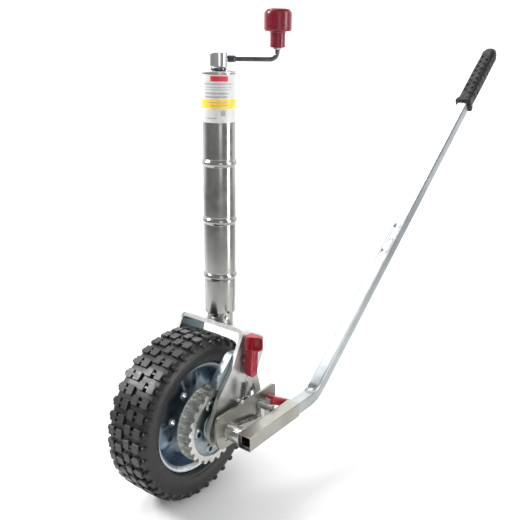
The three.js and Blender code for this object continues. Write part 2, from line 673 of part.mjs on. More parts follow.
// Turns a piece made along +X with its middle on the axis on to the handle's upper run.
function onUpperRun(geometry) {
  return geometry.rotateY(-BAR_RISE).translate(BAR_BEND_X, SOCKET_Y, AXLE_Z);
}

function handleBar() {
  const outer = bentSquare(BAR, 2.5, BAR_START, BAR_RUN);
  const bore = bentSquare(BAR - 2 * BAR_WALL, 1.5, BAR_START - 5, BAR_RUN + 5);
  const catchHole = onUpperRun(upright(round(2.6, 0, 30, 16)).translate(402, 0, 0));
  return cut(outer, bore, catchHole);
}

function grip() {
  const cover = GRIP_SIDE;
  const lengthwise = (shape, from, to) => {
    const body = new THREE.ExtrudeGeometry(shape, { depth: to - from, bevelEnabled: false, curveSegments: 3 });
    return body.rotateY(Math.PI / 2).translate(from, 0, 0);
  };
  const body = lengthwise(roundedSquare(cover, 9), GRIP_START, GRIP_END - 12);
  const collar = lengthwise(roundedSquare(cover + 5, 8), GRIP_START, GRIP_START + 12);
  const end = lengthwise(roundedSquare(cover - 6, 9), GRIP_END - 12.5, GRIP_END);
  const bore = lengthwise(roundedSquare(BAR + 2 * GAP, 2.5), GRIP_START - 10, BAR_RUN + 1);
  return onUpperRun(cut(join(body, collar, end), bore));
}

// A coil spring of a square-cornered wire between two points.
function helix(from, to, radius, wire, turns) {
  const axis = to.clone().sub(from);
  const length = axis.length();
  axis.normalize();
  const side = new THREE.Vector3(0, 1, 0).cross(axis).normalize();
  const other = axis.clone().cross(side);
  const steps = turns * 7;
  const points = [];
  for (let i = 0; i <= steps; i += 1) {
    const turn = (i / 7) * 2 * Math.PI;
    points.push(from.clone().addScaledVector(axis, (i / steps) * length)
      .addScaledVector(side, radius * Math.cos(turn)).addScaledVector(other, radius * Math.sin(turn)));
  }
  const path = new THREE.CatmullRomCurve3(points);
  return closed(new THREE.ExtrudeGeometry(circleShape(wire, 4), { steps, bevelEnabled: false, extrudePath: path }));
}

add('lever_plate', leverPlate(), zinc);
add('lever_spacer', leverSpacer(), steel);
add('retaining_pin', retainingPin(0), zinc);
add('socket', socket(), zinc);
add('drive_pawl_pin', round(4, -132.4, -44, 14).translate(DRIVE_X, 0, DRIVE_Z), zinc);
add('drive_pawl', drivePawl(), steel);
add('drive_pawl_tab', driveTab(), redPlastic);
add('handle_bar', handleBar(), zinc);
add('grip', grip(), rubber);
const HOLD_SPRING = [new THREE.Vector3(-54, -100, -131), new THREE.Vector3(-46, -98, -104)];
const DRIVE_SPRING = [new THREE.Vector3(-74, -104, -179), new THREE.Vector3(-13, -104, -193)];
add('hold_spring', helix(...HOLD_SPRING, 5.6, 0.9, 6), steel);
add('drive_spring', helix(...DRIVE_SPRING, 3.6, 0.7, 8), steel);

export default part;
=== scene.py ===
import json
import math

import bmesh
import bpy
from mathutils import Matrix, Quaternion, Vector
from mathutils.geometry import tessellate_polygon

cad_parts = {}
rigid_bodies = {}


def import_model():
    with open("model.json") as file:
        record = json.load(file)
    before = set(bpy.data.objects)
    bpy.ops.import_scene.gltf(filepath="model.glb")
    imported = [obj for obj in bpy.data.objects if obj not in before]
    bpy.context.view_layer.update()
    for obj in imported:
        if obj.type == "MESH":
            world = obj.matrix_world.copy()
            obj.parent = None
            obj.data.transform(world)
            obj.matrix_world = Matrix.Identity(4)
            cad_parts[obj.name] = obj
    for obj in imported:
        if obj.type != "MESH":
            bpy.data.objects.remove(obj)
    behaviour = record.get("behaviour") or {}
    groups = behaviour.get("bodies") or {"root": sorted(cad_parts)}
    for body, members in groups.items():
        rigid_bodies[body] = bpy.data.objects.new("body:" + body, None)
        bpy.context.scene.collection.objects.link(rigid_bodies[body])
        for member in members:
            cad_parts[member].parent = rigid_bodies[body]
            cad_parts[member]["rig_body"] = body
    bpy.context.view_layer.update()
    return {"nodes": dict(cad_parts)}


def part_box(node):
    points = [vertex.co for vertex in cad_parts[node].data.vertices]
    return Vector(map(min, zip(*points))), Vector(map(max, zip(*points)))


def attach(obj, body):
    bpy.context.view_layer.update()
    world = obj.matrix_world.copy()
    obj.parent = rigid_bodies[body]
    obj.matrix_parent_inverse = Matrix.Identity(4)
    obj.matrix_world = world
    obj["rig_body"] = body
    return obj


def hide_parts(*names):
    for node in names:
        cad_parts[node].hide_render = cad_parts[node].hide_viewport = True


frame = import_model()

# The tongue jack stand.  Shapes are written in millimetres in the CAD's frame and stored in metres.
MM = 0.001
TURN = 2 * math.pi


def low(node):
    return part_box(node)[0] / MM


def high(node):
    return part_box(node)[1] / MM


def middle(node):
    return (low(node) + high(node)) / 2


AXLE_X, AXLE_Z = middle("axle")[0], middle("axle")[2]
SHEET = 8.0                             # thickness of the fork's plate
FAR_LEG_INNER = high("fork")[1] - SHEET
TUBE_R = 30.0
BEADS = (75, 183, 290)


# ---- shapes: each is a list of points and a list of faces ----------------------------
def rounded(points, steps=3, closed=True):
    """The outline with its corners rounded: a point's third value is its corner's radius."""
    out = []
    for i, point in enumerate(points):
        here = Vector(point[:2])
        reach = point[2] if len(point) > 2 else 0.0
        if reach <= 0 or (not closed and i in (0, len(points) - 1)):
            out.append((here.x, here.y))
            continue
        back = Vector(points[i - 1][:2]) - here
        ahead = Vector(points[(i + 1) % len(points)][:2]) - here
        reach /= max(math.tan(back.angle(ahead) / 2), 0.05)
        reach = min(reach, 0.49 * back.length, 0.49 * ahead.length)
        first = here + back.normalized() * reach
        last = here + ahead.normalized() * reach
        for k in range(steps + 1):
            t = k / steps
            p = first * (1 - t) ** 2 + here * (2 * t * (1 - t)) + last * t ** 2
            out.append((p.x, p.y))
    return out


def about_z(x=0.0, y=0.0):
    """Stands a turned piece's axis upright at x and y."""
    return lambda r, h, c, s: (x + r * c, y + r * s, h)


def about_y(x=AXLE_X, z=AXLE_Z):
    """Lays a turned piece's axis along Y at x and z."""
    return lambda r, h, c, s: (x + r * c, h, z + r * s)


def skin(rings, columns, base=0):
    """The faces between closed rings of points, the first of which starts at base."""
    faces = []
    for i in range(rings - 1):
        for k in range(columns):
            a, b = base + i * columns + k, base + i * columns + (k + 1) % columns
            faces.append((a, b, b + columns, a + columns))
    return faces


def ends(rings, columns):
    """The two faces that close a skin."""
    last = (rings - 1) * columns
    return [tuple(range(columns)), tuple(last + k for k in range(columns))]


def lathe(outline, segments, place):
    """A turned piece from a closed outline of (radius, height)."""
    count = len(outline)
    verts, faces = [], []
    for k in range(segments):
        c, s = math.cos(TURN * k / segments), math.sin(TURN * k / segments)
        verts += [place(r, h, c, s) for r, h in outline]
    for k in range(segments):
        a, b = k * count, (k + 1) % segments * count
        for i in range(count):
            j = (i + 1) % count
            faces.append((a + i, a + j, b + j, b + i))
    return verts, faces


def turned(outline, segments, place, steps=3):
    """A turned piece whose outline's corners are rounded."""
    return lathe(rounded(outline, steps), segments, place)


def slab(loops, start, end, place):
    """A flat plate from an outline and its holes, as thick as start to end."""
    flat = [[Vector((u, v, 0)) for u, v in loop] for loop in loops]
    caps = tessellate_polygon(flat)
    points = [p for loop in loops for p in loop]
    count = len(points)
    verts = [place(u, v, start) for u, v in points] + [place(u, v, end) for u, v in points]
    faces = [tuple(t) for t in caps] + [tuple(count + i for i in t) for t in caps]
    base = 0
    for loop in loops:
        for i in range(len(loop)):
            a, b = base + i, base + (i + 1) % len(loop)
            faces.append((a, b, count + b, count + a))
        base += len(loop)
    return verts, faces


def in_xz(u, v, w):
    return u, w, v


def along_x(u, v, w):
    return w, u, v


def circle(x, z, radius, count):
    turns = [TURN * k / count for k in range(count)]
    return [(x + radius * math.cos(t), z + radius * math.sin(t)) for t in turns]


def wire(points, radius, sides=10):
    """A round rod along points, with a radius that may be a list."""
    points = [Vector(p) for p in points]
    radii = radius if isinstance(radius, (list, tuple)) else [radius] * len(points)
    verts = []
    side = None
    for i, p in enumerate(points):
        ahead = (points[min(i + 1, len(points) - 1)] - points[max(i - 1, 0)]).normalized()
        if side is None:
            side = ahead.orthogonal().normalized()
        side = (side - ahead * side.dot(ahead)).normalized()
        other = ahead.cross(side)
        for k in range(sides):
            t = TURN * k / sides
            verts.append(tuple(p + (side * math.cos(t) + other * math.sin(t)) * radii[i]))
    return verts, skin(len(points), sides) + ends(len(points), sides)


def rounded_block(size, radius, steps=3):
    """A box about the origin with all its edges rounded."""
    bm = bmesh.new()
    bmesh.ops.create_cube(bm, size=1.0)
    bmesh.ops.scale(bm, vec=size, verts=bm.verts)
    bmesh.ops.bevel(bm, geom=list(bm.edges) + list(bm.verts), offset=radius, segments=steps, profile=0.5,
                    affect="EDGES")
    shape = [tuple(v.co) for v in bm.verts], [tuple(v.index for v in f.verts) for f in bm.faces]
    bm.free()
    return shape


def moved(shape, change):
    return [tuple(change(Vector(v))) for v in shape[0]], shape[1]


def joined(*shapes):
    verts, faces = [], []
    for points, around in shapes:
        base = len(verts)
        verts += points
        faces += [tuple(base + i for i in f) for f in around]
    return verts, faces


def mesh_of(name, shape, scale=MM):
    bm = bmesh.new()
    made = [bm.verts.new(Vector(v) * scale) for v in shape[0]]
    for f in shape[1]:
        if len(set(f)) > 2:
            try:
                bm.faces.new([made[i] for i in f])
            except ValueError:
                pass
    bmesh.ops.remove_doubles(bm, verts=bm.verts, dist=1e-6)
    bmesh.ops.dissolve_degenerate(bm, dist=1e-7, edges=bm.edges)
    bmesh.ops.recalc_face_normals(bm, faces=bm.faces)
    mesh = bpy.data.meshes.new(name)
    bm.to_mesh(mesh)
    bm.free()
    return mesh


def carved(shape, cutter):
    """The shape with the cutter taken out of it."""
    body = bpy.data.objects.new("carve", mesh_of("carve", shape))
    tool = bpy.data.objects.new("tool", mesh_of("tool", cutter))
    for o in (body, tool):
        bpy.context.scene.collection.objects.link(o)
    cut = body.modifiers.new("cut", "BOOLEAN")
    cut.object, cut.operation, cut.solver = tool, "DIFFERENCE", "EXACT"
    cut.use_self = True
    done = body.evaluated_get(bpy.context.evaluated_depsgraph_get()).to_mesh()
    result = [tuple(v.co / MM) for v in done.vertices], [tuple(p.vertices) for p in done.polygons]
    bpy.data.objects.remove(body)
    bpy.data.objects.remove(tool)
    return result


def dress(obj, body, material, stands_for, bevel, steps, sharp):
    mesh = obj.data
    mesh.shade_smooth()
    if bevel:
        edge = obj.modifiers.new("edges", "BEVEL")
        edge.width, edge.segments = bevel * MM, steps
        edge.limit_method, edge.angle_limit = "ANGLE", math.radians(30)
        even = obj.modifiers.new("shading", "WEIGHTED_NORMAL")
        even.weight, even.keep_sharp = 60, True
    else:
        mesh.set_sharp_from_angle(angle=math.radians(sharp))
    if not mesh.materials:
        mesh.materials.append(material)
    bpy.context.scene.collection.objects.link(obj)
    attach(obj, body)
    if stands_for:
        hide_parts(*stands_for)
    return obj


def piece(name, shape, body, material, stands_for=(), bevel=0.0, steps=2, sharp=35):
    obj = bpy.data.objects.new(name, mesh_of(name, shape))
    return dress(obj, body, material, stands_for, bevel, steps, sharp)


def carried(node, material, bevel=0.4, steps=2):
    """A CAD node's own shape, welded, with its edges rounded."""
    bm = bmesh.new()
    bm.from_mesh(frame["nodes"][node].data)
    bmesh.ops.remove_doubles(bm, verts=bm.verts, dist=2e-5)
    bmesh.ops.dissolve_limit(bm, angle_limit=math.radians(1), verts=bm.verts, edges=bm.edges)
    mesh = bpy.data.meshes.new(node + "_fine")
    bm.to_mesh(mesh)
    bm.free()
    mesh.materials.clear()
    obj = bpy.data.objects.new(node + "_fine", mesh)
    return dress(obj, frame["nodes"][node]["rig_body"], material, [node], bevel, steps, 35)


# ---- materials -----------------------------------------------------------------------
class Nodes:
    """A node tree, with short ways to add and join nodes."""

    def __init__(self, tree, place):
        self.tree = tree
        self.place = self.add("ShaderNodeTexCoord").outputs[place]

    def add(self, kind, **settings):
        node = self.tree.nodes.new(kind)
        for key, value in settings.items():
            setattr(node, key, value)
        return node

    def join(self, out, into):
        self.tree.links.new(out, into)

    def noise(self, scale, detail=4.0, rough=0.55, stretch=(1, 1, 1)):
        shift = self.add("ShaderNodeMapping")
        shift.inputs["Scale"].default_value = stretch
        self.join(self.place, shift.inputs["Vector"])
        node = self.add("ShaderNodeTexNoise")
        node.inputs["Scale"].default_value = scale
        node.inputs["Detail"].default_value = detail
        node.inputs["Roughness"].default_value = rough
        self.join(shift.outputs[0], node.inputs["Vector"])
        return node.outputs["Fac"]

    def cells(self, scale):
        node = self.add("ShaderNodeTexVoronoi")
        node.inputs["Scale"].default_value = scale
        self.join(self.place, node.inputs["Vector"])
        return node.outputs["Color"]

    def ramp(self, factor, *stops):
        node = self.add("ShaderNodeValToRGB")
        while len(node.color_ramp.elements) < len(stops):
            node.color_ramp.elements.new(0.5)
        for element, (at, colour) in zip(node.color_ramp.elements, stops):
            element.position = at
            element.color = (*colour, 1) if isinstance(colour, tuple) else (colour, colour, colour, 1)
        self.join(factor, node.inputs["Fac"])
        return node.outputs["Color"]

    def span(self, factor, start, end, from_low=0.3, from_high=0.7):
        node = self.add("ShaderNodeMapRange")
        for socket, value in zip(node.inputs[1:5], (from_low, from_high, start, end)):
            socket.default_value = value
        self.join(factor, node.inputs[0])
        return node.outputs[0]

    def mix(self, factor, first, second, kind="MIX"):
        node = self.add("ShaderNodeMix", data_type="RGBA", blend_type=kind)
        if isinstance(factor, float):
            node.inputs["Factor"].default_value = factor
        else:
            self.join(factor, node.inputs["Factor"])
        for socket, value in ((node.inputs[6], first), (node.inputs[7], second)):
            if isinstance(value, tuple):
                socket.default_value = (*value, 1)
            else:
                self.join(value, socket)
        return node.outputs[2]

    def bump(self, height, strength, distance, before=None):
        node = self.add("ShaderNodeBump")
        node.inputs["Strength"].default_value = strength
        node.inputs["Distance"].default_value = distance * MM
        self.join(height, node.inputs["Height"])
        if before:
            self.join(before, node.inputs["Normal"])
        return node.outputs["Normal"]

    def math(self, kind, first, second):
        node = self.add("ShaderNodeMath", operation=kind)
        for socket, value in zip(node.inputs, (first, second)):
            if isinstance(value, float):
                socket.default_value = value
            else:
                self.join(value, socket)
        return node.outputs[0]

    def split(self, vector):
        node = self.add("ShaderNodeSeparateXYZ")
        self.join(vector, node.inputs[0])
        return node.outputs

    def spangled(self, colour, strength):
        """The colour with the faint crystals of a zinc bath."""
        crystals = self.ramp(self.cells(210), (0.2, 0.72), (0.8, 1.0))
        return self.mix(strength, colour, crystals, "MULTIPLY")


class Finish(Nodes):
    """The nodes of one material."""

    def __init__(self, name):
        self.material = bpy.data.materials.new(name)
        self.material.use_nodes = True
        super().__init__(self.material.node_tree, "Object")
        self.shader = self.tree.nodes["Principled BSDF"]

    def done(self, colour, rough, normal=None, metallic=0.0, **more):
        self.join(colour, self.shader.inputs["Base Color"])
        self.join(rough, self.shader.inputs["Roughness"])
        if normal:
            self.join(normal, self.shader.inputs["Normal"])
        self.shader.inputs["Metallic"].default_value = metallic
        for key, value in more.items():
            self.shader.inputs[key.replace("_", " ")].default_value = value
        return self.material


ZINC_DULL, ZINC_BRIGHT = (0.47, 0.48, 0.46), (0.56, 0.57, 0.55)
# painted reflection: darker, bluer zinc tones painted on the far leg's inner face, standing for the mirrored
# tyre
SHADED_DULL, SHADED_BRIGHT = (0.10, 0.135, 0.145), (0.17, 0.21, 0.22)


def plated(name, dull, bright, rough, spangle=0.06, grain=(1, 1, 1), bump=0.1, metallic=1.0):
    """Bright zinc or bare steel: clouded, faintly spangled and stained, with drawn lines."""
    n = Finish(name)
    clouds = n.noise(22, 5)
    colour = n.ramp(clouds, (0.32, dull), (0.68, bright))
    colour = n.spangled(colour, spangle)
    stains = n.ramp(n.noise(95, 6, 0.7), (0.58, 0.0), (0.74, 0.22))
    colour = n.mix(stains, colour, tuple(c * 0.62 for c in dull))
    lines = n.noise(160, 3, 0.6, grain)
    normal = n.bump(lines, bump, 0.12)
    normal = n.bump(n.noise(1400, 2), bump * 0.5, 0.05, normal)
    return n.done(colour, n.span(n.noise(60, 5), rough - 0.06, rough + 0.08), normal, metallic)


def fork_plating(name):
    """Zinc, with a painted reflection: duller and bluer on the inner face of the far leg, standing for the
    tyre mirrored there.
    """
    n = Finish(name)
    clouds = n.noise(22, 5)
    bright = n.ramp(clouds, (0.32, ZINC_DULL), (0.68, ZINC_BRIGHT))
    dull = n.ramp(clouds, (0.32, SHADED_DULL), (0.68, SHADED_BRIGHT))
    y = n.split(n.place)["Y"]
    face = FAR_LEG_INNER * MM
    past = n.span(y, 0.0, 1.0, face - 0.0016, face - 0.0008)
    before = n.span(y, 1.0, 0.0, face + 0.0008, face + 0.0016)
    # painted reflection of the tyre: a thin band in Y at the far leg's inner face takes the darker colours
    colour = n.mix(n.math("MULTIPLY", past, before), bright, dull)
    colour = n.spangled(colour, 0.06)
    normal = n.bump(n.noise(160, 3, 0.6), 0.1, 0.12)
    return n.done(colour, n.span(n.noise(60, 5), 0.29, 0.43), normal, 1.0)


def rubbery(name, dark, light, rough, dust=0.3):
    n = Finish(name)
    colour = n.ramp(n.noise(30, 6), (0.35, dark), (0.7, light))
    powder = n.ramp(n.noise(420, 4, 0.7), (0.55, 0.0), (0.8, dust))
    colour = n.mix(powder, colour, tuple(c * 2.6 + 0.02 for c in light))
    normal = n.bump(n.noise(900, 3), 0.3, 0.12)
    return n.done(colour, n.span(n.noise(70, 4), rough - 0.1, rough + 0.12), normal, 0.0,
                  Specular_IOR_Level=0.4)


def tread_rubber(name):
    """Near-black below the lugs' tops and greyer on the tops, by distance from the axle."""
    n = Finish(name)
    from_axle = n.add("ShaderNodeVectorMath", operation="SUBTRACT")
    from_axle.inputs[1].default_value = (AXLE_X * MM, 0, AXLE_Z * MM)
    n.join(n.place, from_axle.inputs[0])
    flat = n.add("ShaderNodeVectorMath", operation="MULTIPLY")
    flat.inputs[1].default_value = (1, 0, 1)
    n.join(from_axle.outputs[0], flat.inputs[0])
    radius = n.add("ShaderNodeVectorMath", operation="LENGTH")
    n.join(flat.outputs[0], radius.inputs[0])
    # lighter colour on the lugs' tops and near-black below them: a mask on distance from the axle
    top = n.span(radius.outputs["Value"], 0.0, 1.0, 0.1565, 0.1602)
    wall = n.ramp(n.noise(26, 5), (0.3, (0.0045, 0.0045, 0.005)), (0.7, (0.008, 0.008, 0.0085)))
    lug_top_tone = n.ramp(n.noise(190, 5, 0.65), (0.3, (0.014, 0.014, 0.016)), (0.7, (0.026, 0.026, 0.029)))
    colour = n.mix(top, wall, lug_top_tone)
    dust = n.ramp(n.noise(520, 4, 0.7), (0.60, 0.0), (0.82, 0.2))
    colour = n.mix(dust, colour, (0.06, 0.06, 0.06))
    normal = n.bump(n.noise(1100, 3), 0.25, 0.1)
    return n.done(colour, n.span(n.noise(60, 4), 0.36, 0.52), normal, 0.0, Specular_IOR_Level=0.5)


def glossy(name, deep, bright, rough, coat=0.4, orange_peel=0.12):
    n = Finish(name)
    colour = n.ramp(n.noise(35, 4), (0.3, deep), (0.7, bright))
    rub = n.ramp(n.noise(240, 5, 0.7, (1, 1, 0.18)), (0.62, 0.0), (0.78, 0.22))
    colour = n.mix(rub, colour, tuple(min(c * 1.4 + 0.015, 1) for c in bright))
    normal = n.bump(n.noise(330, 3), orange_peel, 0.2)
    return n.done(colour, n.span(n.noise(90, 4), rough - 0.06, rough + 0.14), normal, 0.0,
                  Coat_Weight=coat, Coat_Roughness=0.12, Specular_IOR_Level=0.3)


def printed(name, ink):
    n = Finish(name)
    paler = tuple(min(c * 1.08 + 0.02, 1) for c in ink)
    colour = n.ramp(n.noise(140, 5), (0.35, ink), (0.65, paler))
    normal = n.bump(n.noise(260, 3), 0.1, 0.1)
    return n.done(colour, n.span(n.noise(80, 3), 0.37, 0.55), normal, 0.0,
                  Coat_Weight=0.25, Coat_Roughness=0.2)


zinc = plated("zinc_plate", ZINC_DULL, ZINC_BRIGHT, 0.35)
lever_zinc = plated("yellowed_zinc", (0.30, 0.295, 0.26), (0.37, 0.365, 0.33), 0.37, spangle=0.09, bump=0.12)
tube_zinc = plated("drawn_zinc_tube", (0.30, 0.30, 0.285), (0.37, 0.37, 0.355), 0.18, spangle=0.04,
                   grain=(1, 1, 0.04), bump=0.06)
bar_zinc = plated("zinc_bar", (0.31, 0.33, 0.34), (0.38, 0.40, 0.41), 0.32, grain=(0.05, 1, 1))
blade_zinc = plated("blued_zinc", (0.27, 0.32, 0.34), (0.35, 0.40, 0.42), 0.34)
gear_zinc = plated("cast_gear", (0.56, 0.56, 0.52), (0.68, 0.68, 0.64), 0.27, spangle=0.03, bump=0.02,
                   metallic=0.75)
spring_steel = plated("spring_steel", (0.16, 0.16, 0.155), (0.30, 0.30, 0.29), 0.26, spangle=0.05)
steel = plated("machined_steel", (0.48, 0.48, 0.46), (0.64, 0.64, 0.62), 0.26, grain=(1, 0.05, 1), bump=0.12)
rim_zinc = plated("blue_rim", (0.20, 0.26, 0.33), (0.27, 0.34, 0.42), 0.32, spangle=0.04, bump=0.06)
lip_zinc = plated("bright_rim_lip", (0.60, 0.66, 0.70), (0.72, 0.78, 0.81), 0.30, spangle=0.04, bump=0.06,
                  metallic=0.7)
chrome = plated("chrome", (0.60, 0.61, 0.62), (0.72, 0.73, 0.74), 0.10, spangle=0.02, grain=(1, 1, 0.05),
                bump=0.05)
dark_chrome = plated("dark_chrome", (0.085, 0.085, 0.095), (0.16, 0.16, 0.18), 0.18, spangle=0.05, bump=0.08)
tyre_rubber = tread_rubber("tyre_rubber")
grip_rubber = rubbery("grip_rubber", (0.006, 0.006, 0.007), (0.013, 0.013, 0.014), 0.5, 0.1)
red_sleeve = glossy("red_sleeve", (0.24, 0.005, 0.014), (0.34, 0.010, 0.022), 0.34, 0.15, 0.2)
knob_red = glossy("knob_red", (0.15, 0.002, 0.014), (0.20, 0.004, 0.020), 0.24, 0.3)
nylon = printed("nylon", (0.78, 0.77, 0.72))

# ---- the jack tube and its crank -----------------------------------------------------
TUBE_TOP = high("outer_tube")[2]


def tube_outline():
    outer = [(TUBE_R - 2.6, 0.0), (TUBE_R - 1.0, 0.0, 0.6), (TUBE_R - 0.2, 1.2), (TUBE_R, 3.0)]
    for bead in BEADS:
        for k in range(-14, 15):
            t = k / 10
            rise = 2.5 * math.cos(min(abs(t), 1.0) * math.pi / 2) ** 1.1 if abs(t) < 1 else 0.0
            groove = 0.35 * math.exp(-((abs(t) - 1.1) / 0.12) ** 2)
            outer.append((TUBE_R + rise - groove, bead + t * 6.2))
    return rounded(outer + [(TUBE_R, TUBE_TOP), (TUBE_R - 3.0, TUBE_TOP), (TUBE_R - 3.0, 1.0)])


pin_turn = math.atan2(middle("locking_pin")[1], middle("locking_pin")[0])
notch = moved(rounded_block((12, 9, 12), 1.5), lambda v: Matrix.Rotation(pin_turn, 3, "Z")
              @ (v + Vector((TUBE_R - 1, 0, 1))))
piece("tube_shell", carved(lathe(tube_outline(), 96, about_z()), notch), "jack_tube", tube_zinc,
      ["outer_tube"])

cap_low, cap_high = TUBE_TOP + 0.3, high("top_cap")[2]
cap = [(9, cap_low), (TUBE_R + 0.1, cap_low, 0.4), (TUBE_R + 0.1, cap_high - 0.2, 1.6), (24, cap_high, 0.8),
       (22, cap_high - 1.6, 0.8), (9, cap_high - 1.6)]
piece("cap_plate", turned(cap, 72, about_z()), "jack_tube", zinc, ["top_cap"])

head_low, head_high = low("crank_head")[2], high("crank_head")[2]
head_r = (high("crank_head")[0] - low("crank_head")[0]) / 2
head = [(0, head_low), (head_r - 3.5, head_low), (head_r - 3.2, head_low + 1.6, 0.5),
        (head_r, head_low + 2.4, 0.7), (head_r, head_high - 0.1, 1.0), (head_r - 2.4, head_high, 0.8),
        (head_r - 4, head_high - 0.7, 0.4), (0, head_high - 0.7)]
piece("crank_boss", turned(head, 64, about_z()), "crank", chrome, ["crank_head"])
neck = [(9, head_low + 0.5), (14.2, head_low + 0.5), (14.2, head_low - 3.6), (12, head_low - 5.2),
        (9, head_low - 5.2)]
piece("crank_neck", lathe(neck, 48, about_z()), "crank", dark_chrome, ["thrust_washer"])

knob_axis = middle("knob")
CRANK_OUT = Vector((knob_axis[0], knob_axis[1], 0)).normalized()
CRANK_RADIUS = Vector((knob_axis[0], knob_axis[1])).length
ROD_Z = middle("crank_collar")[2]


def on_crank(out, up):
    return CRANK_OUT * out + Vector((0, 0, up))


def rod_path():
    bend = 13
    points = [on_crank(out, ROD_Z) for out in (15, 30, 60, CRANK_RADIUS - bend)]
    for k in range(1, 9):
        t = math.pi / 2 * k / 8
        points.append(on_crank(CRANK_RADIUS - bend + bend * math.sin(t), ROD_Z + bend * (1 - math.cos(t))))
    return points + [on_crank(CRANK_RADIUS, 495), on_crank(CRANK_RADIUS, 540)]


piece("crank_arm", wire(rod_path(), 4.2, 20), "crank", dark_chrome, ["crank_rod"])
hexagon = wire([on_crank(out, ROD_Z) for out in (17.6, 27.6, 28.6)], [6.3, 6.3, 5.4], 6)
collar = joined(hexagon, wire([on_crank(28, ROD_Z), on_crank(30.4, ROD_Z)], 5.0, 20))
piece("crank_ferrule", collar, "crank", dark_chrome, ["crank_collar"], 0.35)
carried("knob_clip", steel, 0.3)

knob_low, knob_high = low("knob")[2], high("knob")[2]
knob = [(0, knob_high), (16.5, knob_high, 2), (20.6, knob_high - 1.6, 2), (23.6, knob_high - 5.6, 2),
        (24.1, knob_high - 9, 3), (24.1, knob_high - 34, 2), (22.8, knob_high - 37, 1.2),
        (15, knob_high - 38.2, 1.2), (13.4, knob_high - 40.4, 1.5), (13.2, knob_high - 46, 3),
        (13.2, knob_low + 1, 1.0), (12, knob_low, 0.8), (4.4, knob_low), (4.4, knob_high - 12),
        (0, knob_high - 12)]
piece("crank_knob", turned(knob, 64, about_z(knob_axis[0], knob_axis[1]), 5), "knob",
      knob_red, ["knob"])

# ---- the label: a wrapped film with a blank red block, grey bars and a yellow band ---
white_film = printed("label_white", (0.57, 0.57, 0.56))
red_ink = printed("label_red", (0.55, 0.012, 0.02))
grey_ink = printed("label_grey", (0.33, 0.33, 0.34))
yellow_ink = printed("label_yellow", (0.84, 0.55, 0.01))
LABEL_FACE = math.radians(-140)         # the way the middle of the label faces


WHITE, RED, GREY, YELLOW = range(4)
# For each row, the height of its foot, its ground, and its printed bar: the ink, and where it starts and ends
# in degrees from the middle.
LABEL_ROWS = (
    (0, WHITE), (7, WHITE, GREY, -46, -8), (9, WHITE), (12, WHITE, GREY, 6, 21), (22, WHITE),
    (24.5, YELLOW), (29, YELLOW, GREY, -30, 34), (30.5, YELLOW), (34, YELLOW, GREY, -40, 28), (35.4, YELLOW),
    (40, WHITE), (43, WHITE, GREY, -52, 30), (46, WHITE), (49, WHITE, GREY, -48, 34), (52, WHITE),
    (56, WHITE, GREY, -54, 40), (57.4, WHITE), (60, WHITE, GREY, -50, 44), (61.4, WHITE),
    (65, WHITE, GREY, -56, 46), (67.4, WHITE), (70.6, WHITE, RED, -27, 31), (79.6, WHITE))


def label_ink(ground, away, bar=None, start=0, end=0):
    """The ink at an angle from the label's middle, in one row."""
    return bar if bar is not None and start <= away <= end else ground


def make_label():
    columns = 180
    foot = low("label")[2]
    heights = [foot + row[0] for row in LABEL_ROWS] + [high("label")[2]]

    def ring(radius, z):
        turns = [LABEL_FACE + TURN * k / columns for k in range(columns)]
        return [(radius * math.cos(t), radius * math.sin(t), z) for t in turns]

    verts = []
    for z in heights:
        verts += ring(TUBE_R + 0.55, z)
    inner = len(verts)
    verts += ring(TUBE_R + 0.1, heights[0]) + ring(TUBE_R + 0.1, heights[-1])
    faces = skin(len(heights), columns)
    ink_of = []
    for _, ground, *bar in LABEL_ROWS:
        for k in range(columns):
            away = (360 * (k + 0.5) / columns + 180) % 360 - 180
            ink_of.append(label_ink(ground, away, *bar))
    top = (len(heights) - 1) * columns
    for k in range(columns):
        n = (k + 1) % columns
        faces.append((k, inner + k, inner + n, n))
        faces.append((inner + k, inner + columns + k, inner + columns + n, inner + n))
        faces.append((top + k, top + n, inner + columns + n, inner + columns + k))
        ink_of += [WHITE] * 3
    mesh = bpy.data.meshes.new("label_film")
    mesh.from_pydata([tuple(Vector(v) * MM) for v in verts], [], faces)
    for ink in (white_film, red_ink, grey_ink, yellow_ink):
        mesh.materials.append(ink)
    mesh.polygons.foreach_set("material_index", ink_of)
    obj = bpy.data.objects.new("label_film", mesh)
    return dress(obj, "jack_tube", white_film, ["label"], 0.0, 1, 35)


make_label()

# ---- inner tube and fork -------------------------------------------------------------
carried("inner_tube", tube_zinc, 0.5)
carried("locking_pin", steel, 0.5)
carried("fork", fork_plating("fork_zinc_painted_reflection"), 1.6, 3)
for node in ("axle", "far_spacer", "near_spacer"):
    carried(node, steel, 0.5)
for node in ("axle_washer", "axle_nut", "lever_washer", "dust_shield"):
    carried(node, zinc, 0.6)

# ---- tyre ----------------------------------------------------------------------------
TYRE_NEAR, TYRE_FAR = low("tyre")[1], high("tyre")[1]
TYRE_R = (high("tyre")[2] - low("tyre")[2]) / 2
TREAD_MID = (TYRE_NEAR + TYRE_FAR) / 2
LUG_RISE = 6.5
LUG_CHAMFER = 1.2
CROWN = 0.0009                          # how fast the tread drops away from its middle
PITCHES = 37


def tyre_carcass():
    half = (TYRE_FAR - TYRE_NEAR) / 2
    right = [(101, 20), (104, 27.5), (109.5, 29.5, 2), (109.8, 35.5, 3), (113, 41, 4), (116, 42.4, 2),
             (118, 45.2, 3), (128, 47.9, 8), (139, half - 0.2, 14), (149, 45.8, 8), (154.4, 39, 6),
             (155.8, 28, 8), (156.6, 0, 30)]
    left = [(p[0], -p[1], *p[2:]) for p in reversed(right[:-1])]
    loop = rounded(right + left, 5)
    return [(r, TREAD_MID + y) for r, y in loop]


def on_tread(turn, along, y, radius):
    """A point at a turn round the tyre, a distance along its tread, and a height across it."""
    angle = turn + along / TYRE_R
    return AXLE_X + radius * math.cos(angle), y, AXLE_Z + radius * math.sin(angle)


